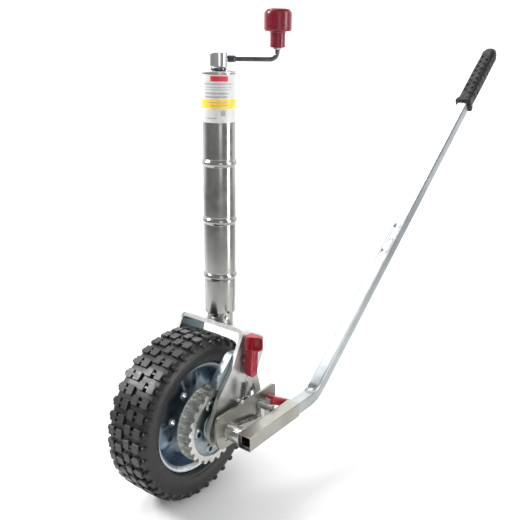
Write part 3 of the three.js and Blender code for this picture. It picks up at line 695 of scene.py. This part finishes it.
def lug(turn, y, length, width, top, draft=0.5):
    """A tread block with a flat top and leaning sides, sunk a little into the carcass."""
    verts = []
    drop = CROWN * (y - TREAD_MID) ** 2
    for radius, shrink in ((TYRE_R - LUG_RISE - 3, -0.6), (top - 0.5, 0.0), (top, draft)):
        a, b, c = length / 2 - shrink, width / 2 - shrink, LUG_CHAMFER
        for u, v in ((a - c, b), (a, b - c), (a, c - b), (a - c, -b),
                     (c - a, -b), (-a, c - b), (-a, b - c), (c - a, b)):
            verts.append(on_tread(turn, u, y + v, radius - drop))
    return verts, skin(3, 8) + ends(3, 8)


SHOULDER_KNOB = ((-1.5, 6.4), (2.2, 5.6), (4.2, 4.3), (5.2, 2.2))       # height over the carcass, and radius
KNOB_SIDES = 12


def shoulder_knob(turn, side):
    """A rounded knob on the tyre's shoulder, pointing out to that side."""
    y = TREAD_MID + side * 43.0
    centre = Vector(on_tread(turn, 0, y, 151.5))
    out = Vector((math.cos(turn), side * 1.0, math.sin(turn))).normalized()
    round_way = Vector((-math.sin(turn), 0, math.cos(turn)))
    across = out.cross(round_way)
    verts = []
    for rise, reach in SHOULDER_KNOB:
        for k in range(KNOB_SIDES):
            t = TURN * k / KNOB_SIDES
            aside = round_way * (reach * math.cos(t)) + across * (1.15 * reach * math.sin(t))
            verts.append(tuple(centre + out * rise + aside))
    return verts, skin(len(SHOULDER_KNOB), KNOB_SIDES) + ends(len(SHOULDER_KNOB), KNOB_SIDES)


def tread():
    """Two bands of paired lugs half a pitch apart, each pair joined by a thin tie, and a knob at each end."""
    shapes = []
    for row in range(PITCHES):
        for phase, first, second, side in ((0.08, -21.2, 0.8, -1), (0.60, 20.4, 40.0, 1)):
            turn = TURN * (row + phase) / PITCHES
            shapes.append(lug(turn, first, 17.0, 15.0, TYRE_R))
            shapes.append(lug(turn, second, 17.0, 14.2, TYRE_R))
            shapes.append(lug(turn, (first + second) / 2, 4.6, 9, TYRE_R - 1.2, 0.3))
            shapes.append(shoulder_knob(turn, side))
    return joined(*shapes)


tyre = joined(lathe(tyre_carcass(), 148, about_y()), tread())
piece("tyre_with_tread", tyre, "wheel", tyre_rubber, ["tyre"], sharp=30)

# ---- rim and hub ---------------------------------------------------------------------
RIM_R = (high("rim_well")[2] - low("rim_well")[2]) / 2
RIM_NEAR, RIM_FAR = low("rim_well")[1], high("rim_well")[1]
RIVETS = [middle(f"gear_rivet_{i}") for i in range(1, 6)]
BOLTS = [math.atan2(rivet[2] - AXLE_Z, rivet[0] - AXLE_X) for rivet in RIVETS]
BOLT_CIRCLE = math.hypot(RIVETS[0][0] - AXLE_X, RIVETS[0][2] - AXLE_Z)


def rim_lip(side, edge):
    """The rolled lip at one edge: side is -1 on the near side."""
    sign = -side
    outline = [(98.5, 8), (100.5, 5, 2), (103.6, 1.2, 1.5), (106, 0, 2.2), (RIM_R - 0.2, 0.8, 2.4),
               (RIM_R - 0.2, 4.2, 1.6), (107.0, 4.4, 0.6), (106.6, 3.0, 1.0), (104.4, 3.4, 1.5),
               (102, 7.4, 2), (100.1, 10)]
    return [(radius, edge + sign * rise, *corner) for radius, rise, *corner in outline]


def rim_well():
    near = RIM_NEAR + 8
    far = RIM_FAR - 8
    return rounded([(98.4, near), (97, near + 3, 3), (97, 13, 6), (97, far - 3, 3), (98.4, far), (100.0, far),
                    (98.6, far - 3, 3), (98.6, near + 3, 3), (100.0, near)], 3)


DISC_BORE = 20.6
DISC_EDGE = 97.6
DISC_SHEET = 2.2
DISC_RIBS = 10


def rim_disc():
    """The pressed disc: ten shallow ribs between the hub and the well."""
    rings, columns = 26, 120
    verts, faces = [], []
    for back in (0, 1):
        for i in range(rings + 1):
            r = DISC_BORE + (DISC_EDGE - DISC_BORE) * i / rings
            t = (r - DISC_BORE) / 77
            dish = -0.5 + 13.0 * max(0.0, (t - 0.5) / 0.5) ** 1.6
            for k in range(columns):
                turn = TURN * k / columns
                wave = math.cos(DISC_RIBS * (turn - BOLTS[0]))
                ridge = 2.6 * max(0.0, wave) ** 3 * math.sin(math.pi * min(max((t - 0.42) / 0.55, 0), 1))
                y = dish - ridge + (DISC_SHEET if back else 0.0)
                verts.append((AXLE_X + r * math.cos(turn), y, AXLE_Z + r * math.sin(turn)))
    sheet = (rings + 1) * columns
    for back in (0, 1):
        faces += skin(rings + 1, columns, back * sheet)
    for edge in (0, rings * columns):
        for k in range(columns):
            a, b = edge + k, edge + (k + 1) % columns
            faces.append((a, b, sheet + b, sheet + a))
    return verts, faces


def at_bolt(i, reach=BOLT_CIRCLE):
    return AXLE_X + reach * math.cos(BOLTS[i]), AXLE_Z + reach * math.sin(BOLTS[i])


bolt_hole = [(0, -30), (6.2, -30), (6.2, 30), (0, 30)]
bolt_holes = joined(*[lathe(bolt_hole, 24, about_y(*at_bolt(i))) for i in range(len(BOLTS))])
piece("rim_dish", carved(rim_disc(), bolt_holes), "wheel", rim_zinc, ["rim_disc"])
piece("rim_barrel", lathe(rim_well(), 96, about_y()), "wheel", rim_zinc, ["rim_well"])
lips = joined(turned(rim_lip(-1, RIM_NEAR), 120, about_y()),
              turned(rim_lip(1, RIM_FAR), 120, about_y()))
piece("rim_lips", lips, "wheel", lip_zinc)
carried("hub", steel, 0.6)

# ---- ratchet gear --------------------------------------------------------------------
TEETH = 24
GEAR_NEAR, GEAR_BACK = low("ratchet_gear")[1], high("ratchet_gear")[1]
GEAR_TIP = 74.9
GEAR_ROOT = 68.2
GEAR_PHASE = math.radians(12.8)


def gear_outline(tip, root, samples=14):
    points = []
    for k in range(TEETH * samples):
        turn = GEAR_PHASE + TURN * k / (TEETH * samples)
        wave = -math.cos(TEETH * (turn - GEAR_PHASE))
        swell = 0.5 + 0.5 * math.tanh(2.6 * (wave + 0.12)) / math.tanh(2.6)
        r = root + (tip - root) * min(max(swell, 0), 1)
        points.append((AXLE_X + r * math.cos(turn), AXLE_Z + r * math.sin(turn)))
    return points


GEAR_BORE = 60.5
WEB_NEAR, WEB_FAR = -65.6, -61.8
WEB_BORE = 20.8
inner_wall = circle(AXLE_X, AXLE_Z, GEAR_BORE, 96)
teeth = slab([gear_outline(GEAR_TIP, GEAR_ROOT), inner_wall], GEAR_NEAR + 0.2, GEAR_BACK - 2.4, in_xz)
BACK_R = GEAR_TIP - 0.4
back_outline = [(GEAR_BORE, GEAR_BACK - 3.4), (BACK_R, GEAR_BACK - 3.4, 0.8), (BACK_R, GEAR_BACK, 0.8),
                (GEAR_BORE, GEAR_BACK)]
back_ring = turned(back_outline, 96, about_y())
web = slab([circle(AXLE_X, AXLE_Z, 61, 96), circle(AXLE_X, AXLE_Z, WEB_BORE, 48)]
           + [circle(*at_bolt(i), 5.0, 24) for i in range(len(BOLTS))], WEB_NEAR, WEB_FAR, in_xz)
roll = [(57.6, -65.2), (59.8, -68.2, 1.2), (61.5, GEAR_NEAR + 0.1, 0.8), (62, -64), (59, -64)]
rolled = turned(roll, 96, about_y())
boss = [(WEB_BORE, WEB_FAR), (WEB_BORE, -67.4, 0.6), (29, -67.4, 1.2), (31, -65.4, 0.6), (31, WEB_FAR)]
gear_hub = turned(boss, 72, about_y())
piece("gear_ring", joined(teeth, back_ring), "wheel", gear_zinc, ["ratchet_gear"], 1.1, 3)
piece("gear_web", joined(web, rolled, gear_hub), "wheel", blade_zinc)


def eyelet(i):
    """The gear's boss and the collar round the rim's hole behind it."""
    front = [(4.8, -60), (4.8, -69.0, 0.5), (8.2, -69.0, 1.0), (10.8, -66.4, 1.0), (11.4, -65.4), (11.4, -61),
             (9, -60)]
    behind = [(5.6, 4.4), (5.6, -2.6, 0.6), (8.4, -2.6, 0.8), (9.8, -0.2, 0.8), (10.8, 0.4), (10.8, 4.4)]
    place = about_y(*at_bolt(i))
    return joined(turned(front, 28, place), turned(behind, 28, place))


for i in range(len(BOLTS)):
    piece(f"gear_eyelet_{i + 1}", eyelet(i), "wheel", blade_zinc, [f"gear_rivet_{i + 1}"])

# ---- pawls and springs ---------------------------------------------------------------
carried("hold_pawl", blade_zinc, 0.8)
carried("drive_pawl", steel, 0.6)


def sleeve_shape():
    """The coated arm: a bar that narrows downwards, with slots down its front."""
    foot, front, back = low("hold_pawl_sleeve").z, -105.4, high("hold_pawl_sleeve").y
    outline = [(-33.2, -18.4, 3), (-38.2, -93, 5), (-32, foot, 4), (-18, -98.8, 6), (-14.4, -18.4, 3)]
    body = slab([rounded(outline, 5)], front, back, in_xz)
    lean = 0.06
    slots = []
    for x, z, half in ((-30.6, -60, 9), (-30.2, -84, 7), (-25.0, -72, 16), (-20.6, -60, 9), (-21.0, -84, 7)):
        slot = rounded_block((2.2, 3.0, 2 * half), 0.8, 2)
        slots.append(moved(slot, lambda v: Vector((v.x + lean * v.z + x, v.y + front, v.z + z))))
    return carved(body, joined(*slots))


SCOOP_TURN = math.radians(-60)
SCOOP_AT = Vector((-26.0, -103.8, -31.0))
SCOOP_HALF = (16.6, 13.9)


def scoop_shape():
    """The thumb scoop at the arm's top: a hollowed, rounded paddle turned outwards."""
    along = Vector((math.cos(SCOOP_TURN), math.sin(SCOOP_TURN), 0))
    out = Vector((math.sin(SCOOP_TURN), -math.cos(SCOOP_TURN), 0))
    profile = rounded([(0.0, 2.0), (0.50, 2.2, 0.2), (0.84, 4.8, 0.12), (0.92, 8.6, 0.04), (1.0, 8.6, 0.05),
                       (1.0, -1.9, 0.05), (0.0, -1.9)], 5, closed=False)
    columns = 56
    verts = []
    for reach, depth in profile:
        for k in range(columns):
            c, s = math.cos(TURN * k / columns), math.sin(TURN * k / columns)
            square_out = (abs(c) ** 5 + abs(s) ** 5) ** 0.2
            point = SCOOP_AT + along * (SCOOP_HALF[0] * reach * c / square_out) + out * depth
            verts.append((point.x, point.y, point.z + SCOOP_HALF[1] * reach * s / square_out))
    return verts, skin(len(profile), columns)


piece("hold_sleeve", joined(sleeve_shape(), scoop_shape()), "hold_pawl", red_sleeve,
      ["hold_pawl_sleeve"], sharp=50)

pin_x, pin_z = middle("spring_pin")[0], middle("spring_pin")[2]
pin_out = low("spring_pin")[1]
pin = [(0, -78), (4.6, -78), (4.6, -96.5, 0.4), (3.1, -97.6, 0.4), (3.1, -101.6, 0.4), (4.6, -102.6, 0.4),
       (4.6, pin_out + 1, 1.2), (3.2, pin_out, 0.6), (0, pin_out)]
piece("spring_post", turned(pin, 32, about_y(pin_x, pin_z)), "fork", zinc, ["spring_pin"])


def coil(start, end, radius, gauge, turns, lead_in=(), lead_out=()):
    """A close coiled spring with its end hooks."""
    start, end = Vector(start), Vector(end)
    axis = (end - start).normalized()
    side = Vector((0, 1, 0)).cross(axis).normalized()
    other = axis.cross(side)
    steps = int(turns * 16)
    points = [Vector(p) for p in lead_in]
    for k in range(steps + 1):
        t = TURN * k / 16
        aside = side * (radius * math.cos(t)) + other * (radius * math.sin(t))
        points.append(start.lerp(end, k / steps) + aside)
    return wire(points + [Vector(p) for p in lead_out], gauge, 8)


hook_on_post = [(pin_x + 2, -99.6, pin_z - 3), (pin_x + 4.2, -99.6, pin_z - 1),
                (pin_x + 4.4, -99.8, pin_z + 3)]
hook_on_sleeve = [(-46, -98.4, -104), (-41, -97.6, -101), (-36, -97, -97.5), (-33, -97, -96)]
hold_coil = coil((-54, -100, -132), (-46.6, -98.6, -106), 5.7, 0.95, 10, hook_on_post, hook_on_sleeve)
piece("hold_coil", hold_coil, "fork", spring_steel, ["hold_spring"])
hook_on_plate = [(-82, -104, -171), (-79, -104, -173), (-76, -104, -176)]
hook_on_pawl = [(-13, -104.4, -193), (-6, -105, -194), (0, -105.4, -194.6)]
drive_coil = coil((-72, -104, -179.4), (-17, -104, -191.6), 3.6, 0.85, 20, hook_on_plate, hook_on_pawl)
piece("drive_coil", drive_coil, "lever", spring_steel, ["drive_spring"])

# ---- lever ---------------------------------------------------------------------------
plate_low, plate_high = low("lever_plate"), high("lever_plate")
pawl_x, pawl_z = middle("drive_pawl_pin")[0], middle("drive_pawl_pin")[2]
lever_outline = rounded([(plate_low.x, plate_low.z, 30), (plate_high.x, plate_low.z, 24),
                         (plate_high.x, plate_high.z, 13), (plate_low.x, plate_high.z, 12)], 10)
AXLE_HOLE = 10.4
lever_shape = slab([lever_outline, circle(AXLE_X, AXLE_Z, AXLE_HOLE, 40), circle(pawl_x, pawl_z, 7.4, 28)],
                   plate_low.y, plate_high.y, in_xz)
piece("lever_sheet", lever_shape, "lever", lever_zinc, ["lever_plate"], 0.9, 3)

spacer_low, spacer_high = low("lever_spacer")[1], high("lever_spacer")[1]
spacer = [(AXLE_HOLE, spacer_low), (14.4, spacer_low, 0.5), (15.4, spacer_low + 1.2, 0.5),
          (15.4, spacer_high - 7, 0.8), (13.6, spacer_high - 6.2, 0.5), (13.6, spacer_high, 0.5),
          (AXLE_HOLE, spacer_high)]
piece("spacer_tube", turned(spacer, 56, about_y()), "lever", steel, ["lever_spacer"])
cotter_low, cotter_high = low("retaining_pin"), high("retaining_pin")
cotter_y, cotter_z = middle("retaining_pin")[1], middle("retaining_pin")[2]
cotter = [(cotter_low.x + 1.4, cotter_y, cotter_z + 0.4), (cotter_low.x + 3, cotter_y, cotter_z),
          (AXLE_X, cotter_y, cotter_z), (cotter_high.x - 4, cotter_y, cotter_z),
          (cotter_high.x - 0.6, cotter_y, cotter_z)]
piece("cotter", wire(cotter, 1.8, 12), "lever", zinc, ["retaining_pin"])

socket_low, socket_high = low("socket"), high("socket")
socket_y = (socket_low.y + socket_high.y) / 2


def square(side, corner, steps=5):
    h = side / 2
    return rounded([(h, -h, corner), (h, h, corner), (-h, h, corner), (-h, -h, corner)], steps)


def moved_loop(loop, u, v):
    return [(a + u, b + v) for a, b in loop]


SOCKET_WALL = 1.6
outer_side = socket_high.y - socket_low.y
socket_loops = [moved_loop(square(side, corner), socket_y, AXLE_Z)
                for side, corner in ((outer_side, 3.2), (outer_side - 2 * SOCKET_WALL, 1.8))]
socket_shape = slab(socket_loops, socket_low.x, socket_high.x, along_x)
piece("socket_tube", socket_shape, "lever", lever_zinc, ["socket"], 0.35, 2)
pin_end_low, pin_end_high = low("drive_pawl_pin"), high("drive_pawl_pin")
pawl_pin = [(0, pin_end_low.y), (3.9, pin_end_low.y), (3.9, pin_end_high.y - 1, 0.5),
            (3.0, pin_end_high.y, 0.4), (0, pin_end_high.y)]
piece("pawl_axle", turned(pawl_pin, 32, about_y(pawl_x, pawl_z)), "lever", zinc,
      ["drive_pawl_pin"])

tail_slope = math.radians(30)


def on_tail(v):
    return Matrix.Rotation(tail_slope, 3, "Y") @ v + Vector((pawl_x, 0, pawl_z))


tab = moved(rounded_block((84.4, 18.6, 16.8), 5.2, 5), lambda v: on_tail(v + Vector((43.8, -118, 15))))
piece("drive_tab", tab, "drive_pawl", red_sleeve, ["drive_pawl_tab"], sharp=60)

# ---- handle --------------------------------------------------------------------------
BAR = 25.0
BAR_WALL = 2.0
BAR_CORNER = 2.8
BORE_DEPTH = 60.0                       # how far in the open end is hollow
BEND_X = 112.0
BEND_R = 60.0
RISE = math.radians(38.6)
BAR_RUN = 1020.0
BAR_START = low("handle_bar")[0]
CORNER = Vector((BEND_X, socket_y, AXLE_Z))
UPWARD = Vector((math.cos(RISE), 0, math.sin(RISE)))
RECESS = (402.0, 44.0, 3.2)             # the pressed recess: its middle along the run, half length and depth


def bar_stations():
    """(point on the bar's axis, its slope, how deep the bend is pressed in, how deep the recess is)."""
    reach = BEND_R * math.tan(RISE / 2)
    stations = [(Vector((BAR_START, socket_y, AXLE_Z)), 0, 0, 0)]
    for k in range(25):
        t = k / 24
        turn = t * RISE
        point = CORNER + Vector((BEND_R * math.sin(turn) - reach, 0, BEND_R * (1 - math.cos(turn))))
        stations.append((point, turn, 3.4 * math.sin(math.pi * t) ** 2, 0))
    middle_at, half, depth = RECESS
    for k in range(33):
        t = 2 * k / 32 - 1
        press = depth * min(1.0, 3.2 * (1 - abs(t)))
        stations.append((CORNER + UPWARD * (middle_at + half * t), RISE, 0, press))
    stations.append((CORNER + UPWARD * BAR_RUN, RISE, 0, 0))
    return stations


def bar_section(side, corner, pinch, press):
    """The square section, with its upper face pressed in at the bend or at the recess."""
    h = side / 2
    top = [(h - corner - (2 * (h - corner)) * k / 12, h) for k in range(13)]
    loop = rounded([(-h, h, corner), (-h, -h, corner), (h, -h, corner), (h, h, corner)], 4) + top[1:-1]
    out = []
    for u, v in loop:
        if v > h - 0.01:
            v -= pinch * math.cos(min(abs(u) / h, 1) * math.pi / 2) ** 0.6
            v -= press * min(max((7.6 - abs(u)) / 2.4, 0), 1)
        out.append((u, v))
    return out


def bar_shape():
    verts = []
    stations = bar_stations()
    for point, slope, pinch, press in stations:
        for u, v in bar_section(BAR, BAR_CORNER, pinch, press):
            verts.append((point.x - v * math.sin(slope), point.y + u, point.z + v * math.cos(slope)))
    count = len(bar_section(BAR, BAR_CORNER, 0, 0))
    faces = skin(len(stations), count)
    bore = len(verts)
    inside = square(BAR - 2 * BAR_WALL, 1.5)
    for x in (BAR_START, BAR_START + BORE_DEPTH):
        verts += [(x, socket_y + u, AXLE_Z + v) for u, v in inside]
    faces += skin(2, len(inside), bore)
    faces.append(tuple(bore + len(inside) + i for i in range(len(inside))))
    rim = tessellate_polygon([[Vector((v[1], v[2], 0)) for v in verts[:count]],
                              [Vector((v[1], v[2], 0)) for v in verts[bore:bore + len(inside)]]])
    faces += [tuple(i if i < count else bore + i - count for i in t) for t in rim]
    last = (len(stations) - 1) * count
    faces.append(tuple(last + i for i in range(count)))
    return verts, faces


piece("handle_tube", bar_shape(), "handle", bar_zinc, ["handle_bar"], sharp=40)


def on_run(v):
    """A point on the upper run: x along it from the bend's corner, y across, z square to its upper face."""
    return CORNER + UPWARD * v.x + Vector((-math.sin(RISE) * v.z, v.y, math.cos(RISE) * v.z))


button_seat = BAR / 2 - RECESS[2]
button_outline = [(0, button_seat - 1.2), (2.4, button_seat - 1.2), (2.6, button_seat + 0.3, 0.2),
                  (3.8, button_seat + 0.4, 0.2), (4.2, button_seat - 0.6), (0, button_seat - 1.4)]
button = turned(button_outline, 28, about_z(RECESS[0], 0))
piece("catch_hole", moved(button, on_run), "handle", dark_chrome)

# ---- grip ----------------------------------------------------------------------------
GRIP_START, GRIP_END = 843.0, 1043.0    # along the upper run, from the bend's corner
FINGER_ROWS = 8
FINGER_PITCH = 17.4


def grip_profile():
    """(distance along the run, side of the section, corner radius) from the collar to the end cap."""
    a, b = GRIP_START, GRIP_END
    return [(a, 29, 4), (a, 38.6, 8), (a + 1.5, 39, 8), (a + 8, 38.4, 9), (a + 11.5, 36, 9),
            (a + 13, 33.4, 9), (a + 20, 32.6, 9), (a + 60, 33.6, 9.5), (a + 120, 33.8, 10),
            (a + 160, 33.2, 10), (b - 26, 33.0, 10), (b - 24, 34.0, 10), (b - 14, 34.0, 11),
            (b - 11, 31.4, 11), (b - 4, 29.4, 12), (b - 1, 26, 12), (b, 20, 9.9), (b, 1, 0.4)]


def grip_body():
    verts = []
    profile = grip_profile()
    for at, side, corner in profile:
        verts += [(at, u, v) for u, v in square(side, corner, 7)]
    count = len(verts) // len(profile)
    return verts, skin(len(profile), count) + ends(len(profile), count)


def finger_rows():
    """Two rows of round holes in the upper face, ring grooves round them, and short grooves in the sides."""
    cutters = []
    for k in range(FINGER_ROWS):
        at = GRIP_START + 30 + FINGER_PITCH * k
        for across, shift in ((-7.2, 0.0), (7.2, FINGER_PITCH / 2)):
            hole = lathe([(0, 12.6), (2.6, 12.6), (2.9, 22), (0, 22)], 14, about_z(at + shift, across))
            ring = lathe([(4.6, 15.3), (5.8, 15.3), (6.2, 22), (4.4, 22)], 22, about_z(at + shift, across))
            cutters += [hole, ring]
        for side in (-1, 1):
            groove = rounded_block((3.0, 6.0, 22), 1.0, 2)
            cutters.append(moved(groove, lambda v: v + Vector((at + 4, side * 17.9, 0))))
    return joined(*cutters)


grip_shape = carved(grip_body(), finger_rows())
piece("grip_sleeve", moved(grip_shape, on_run), "handle", grip_rubber, ["grip"], sharp=40)

# ---- the parts out of sight keep their own shapes ------------------------------------
hidden = {"lift_screw": steel, "lift_nut": steel, "guide_ring": nylon, "bearing_near": dark_chrome,
          "bearing_far": dark_chrome}
for node, material in hidden.items():
    frame["nodes"][node].data.materials.clear()
    frame["nodes"][node].data.materials.append(material)

# ---- stage, light and camera ---------------------------------------------------------
scene = bpy.context.scene
scene.view_settings.view_transform = "Standard"
FLOOR_Z = low("tyre")[2] * MM
AWAY = math.radians(-53.07)
CAM_RIGHT = Vector((math.cos(AWAY), math.sin(AWAY), 0))
CAM_AHEAD = Vector((-math.sin(AWAY), math.cos(AWAY), 0))


def stage_material():
    """Pale paper round the object and behind it, fading to grey at the sides and in front: painted shade
    standing for the dim room that the metal mirrors. The paper is painted brighter with distance, painted
    light that keeps the far floor white.
    """
    n = Finish("studio_paper")
    turned_to = n.add("ShaderNodeVectorRotate", rotation_type="Z_AXIS")
    turned_to.inputs["Angle"].default_value = -AWAY
    n.join(n.place, turned_to.inputs["Vector"])
    axes = n.split(turned_to.outputs[0])
    aside = n.math("ABSOLUTE", axes["X"], 0.0)
    behind = n.math("MAXIMUM", n.math("ADD", axes["Y"], 1.9), 0.05)
    fan = n.span(n.math("DIVIDE", aside, behind), 1.0, 0.0, 0.42, 0.85)
    fan = n.math("MULTIPLY", fan, n.span(axes["Y"], 0.0, 1.0, -1.0, -0.5))
    far = n.add("ShaderNodeVectorMath", operation="LENGTH")
    n.join(n.place, far.inputs[0])
    near = n.span(far.outputs["Value"], 1.0, 0.0, 0.6, 1.8)
    pale = n.math("MAXIMUM", fan, near)
    paper = n.ramp(n.noise(1.5, 3), (0.3, (0.85, 0.85, 0.85)), (0.7, (0.87, 0.87, 0.87)))
    # painted light: the paper brightens with distance so that the less-lit far floor reads white
    bright = n.span(far.outputs["Value"], 0.0, 1.0, 0.8, 3.5)
    paper = n.mix(bright, paper, (0.99, 0.99, 0.99))
    # painted shade: grey at the sides and in front, darker to the left, standing for the dim room mirrored by
    # the metal
    ground = n.ramp(n.span(axes["X"], 0.0, 1.0, -1.4, 1.4), (0.2, 0.24), (0.85, 0.50))
    colour = n.mix(pale, ground, paper)
    return n.done(colour, n.span(n.noise(8, 3), 0.8, 0.95), n.bump(n.noise(120, 3), 0.03, 0.2),
                  Specular_IOR_Level=0.1)


def make_stage():
    """A wide round floor."""
    rings, columns = (0.4, 0.8, 1.4, 2.0, 2.7), 96
    verts, faces = [(0, 0, 0)], []
    for radius in rings:
        verts += [(radius * math.cos(TURN * k / columns), radius * math.sin(TURN * k / columns), 0)
                  for k in range(columns)]
    for k in range(columns):
        n = (k + 1) % columns
        faces.append((0, 1 + k, 1 + n))
        for i in range(len(rings) - 1):
            a, b = 1 + i * columns, 1 + (i + 1) * columns
            faces.append((a + k, b + k, b + n, a + n))
    floor = bpy.data.objects.new("studio_floor", mesh_of("studio_floor", (verts, faces), 1.0))
    floor.location.z = FLOOR_Z
    floor.data.materials.append(stage_material())
    scene.collection.objects.link(floor)


def softbox(name, right, ahead, up, size, power, aim=(0.0, 0.0, 0.0), tall=None, spin=0.0):
    lamp = bpy.data.lights.new(name, "AREA")
    lamp.shape = "RECTANGLE"
    lamp.size, lamp.size_y = size, tall or size
    lamp.energy = power
    obj = bpy.data.objects.new(name, lamp)
    obj.location = CAM_RIGHT * right + CAM_AHEAD * ahead + Vector((0, 0, up))
    facing = (obj.location - Vector(aim)).to_track_quat("Z", "Y")
    obj.rotation_euler = (facing @ Quaternion((0, 0, 1), math.radians(spin))).to_euler()
    obj.visible_camera = False
    scene.collection.objects.link(obj)


def make_world():
    """A studio that is white behind the object and overhead, and grey in front of it."""
    world = bpy.data.worlds.new("studio")
    scene.world = world
    world.use_nodes = True
    n = Nodes(world.node_tree, "Generated")
    ahead = n.add("ShaderNodeVectorMath", operation="DOT_PRODUCT")
    ahead.inputs[1].default_value = CAM_AHEAD
    n.join(n.place, ahead.inputs[0])
    along = n.span(ahead.outputs["Value"], 0.0, 1.0, -1.0, 1.0)
    # Brightness from the side that faces the camera to the side behind the object.
    levels = ((0.0, 0.42), (0.45, 0.32), (0.62, 0.75), (0.74, 1.6))
    stops = [(at, (grey, grey, grey * 1.01)) for at, grey in levels]
    overhead = n.span(n.split(n.place)["Z"], 0.0, 1.0, 0.35, 0.8)
    overhead.node.interpolation_type = "SMOOTHSTEP"
    sky = n.mix(overhead, n.ramp(along, *stops), (0.42, 0.425, 0.43))
    n.join(sky, n.tree.nodes["Background"].inputs["Color"])


make_stage()
make_world()
softbox("key", -1.75, -0.05, 1.3, 0.6, 46)
softbox("front", 0.55, -2.4, 0.75, 0.9, 8, tall=2.0)
softbox("right_strip", 1.25, -0.45, 0.30, 0.40, 16, tall=1.9)
softbox("backdrop", 0.0, 2.7, 1.6, 5.0, 42, aim=tuple(CAM_AHEAD * 2.7), tall=1.8, spin=math.degrees(AWAY))
overhead = CAM_RIGHT * -0.33 + CAM_AHEAD * 0.66
softbox("bar_strip", -0.33, 0.66, 1.88, 2.2, 24, aim=(overhead.x, overhead.y, 0.0), tall=0.6, spin=-19.6)

# The camera stands in front, to the left of the wheel and a little above it.
LOOK_DOWN = math.radians(18.41)
ROLL = math.radians(0.68)
CAM_PLACE = Vector((-0.9751, -0.8281, 0.5274))
back = -CAM_AHEAD * math.cos(LOOK_DOWN) + Vector((0, 0, math.sin(LOOK_DOWN)))
up = back.cross(CAM_RIGHT)
cam_x = CAM_RIGHT * math.cos(ROLL) + up * math.sin(ROLL)
cam_y = up * math.cos(ROLL) - CAM_RIGHT * math.sin(ROLL)
lens = bpy.data.cameras.new("camera")
lens.lens = 49.0
lens.sensor_width = 36.0
lens.clip_start = 0.01
camera = bpy.data.objects.new("camera", lens)
place = Matrix((cam_x, cam_y, back)).transposed().to_4x4()
place.translation = CAM_PLACE
camera.matrix_world = place
scene.collection.objects.link(camera)
scene.camera = camera

bpy.context.view_layer.update()
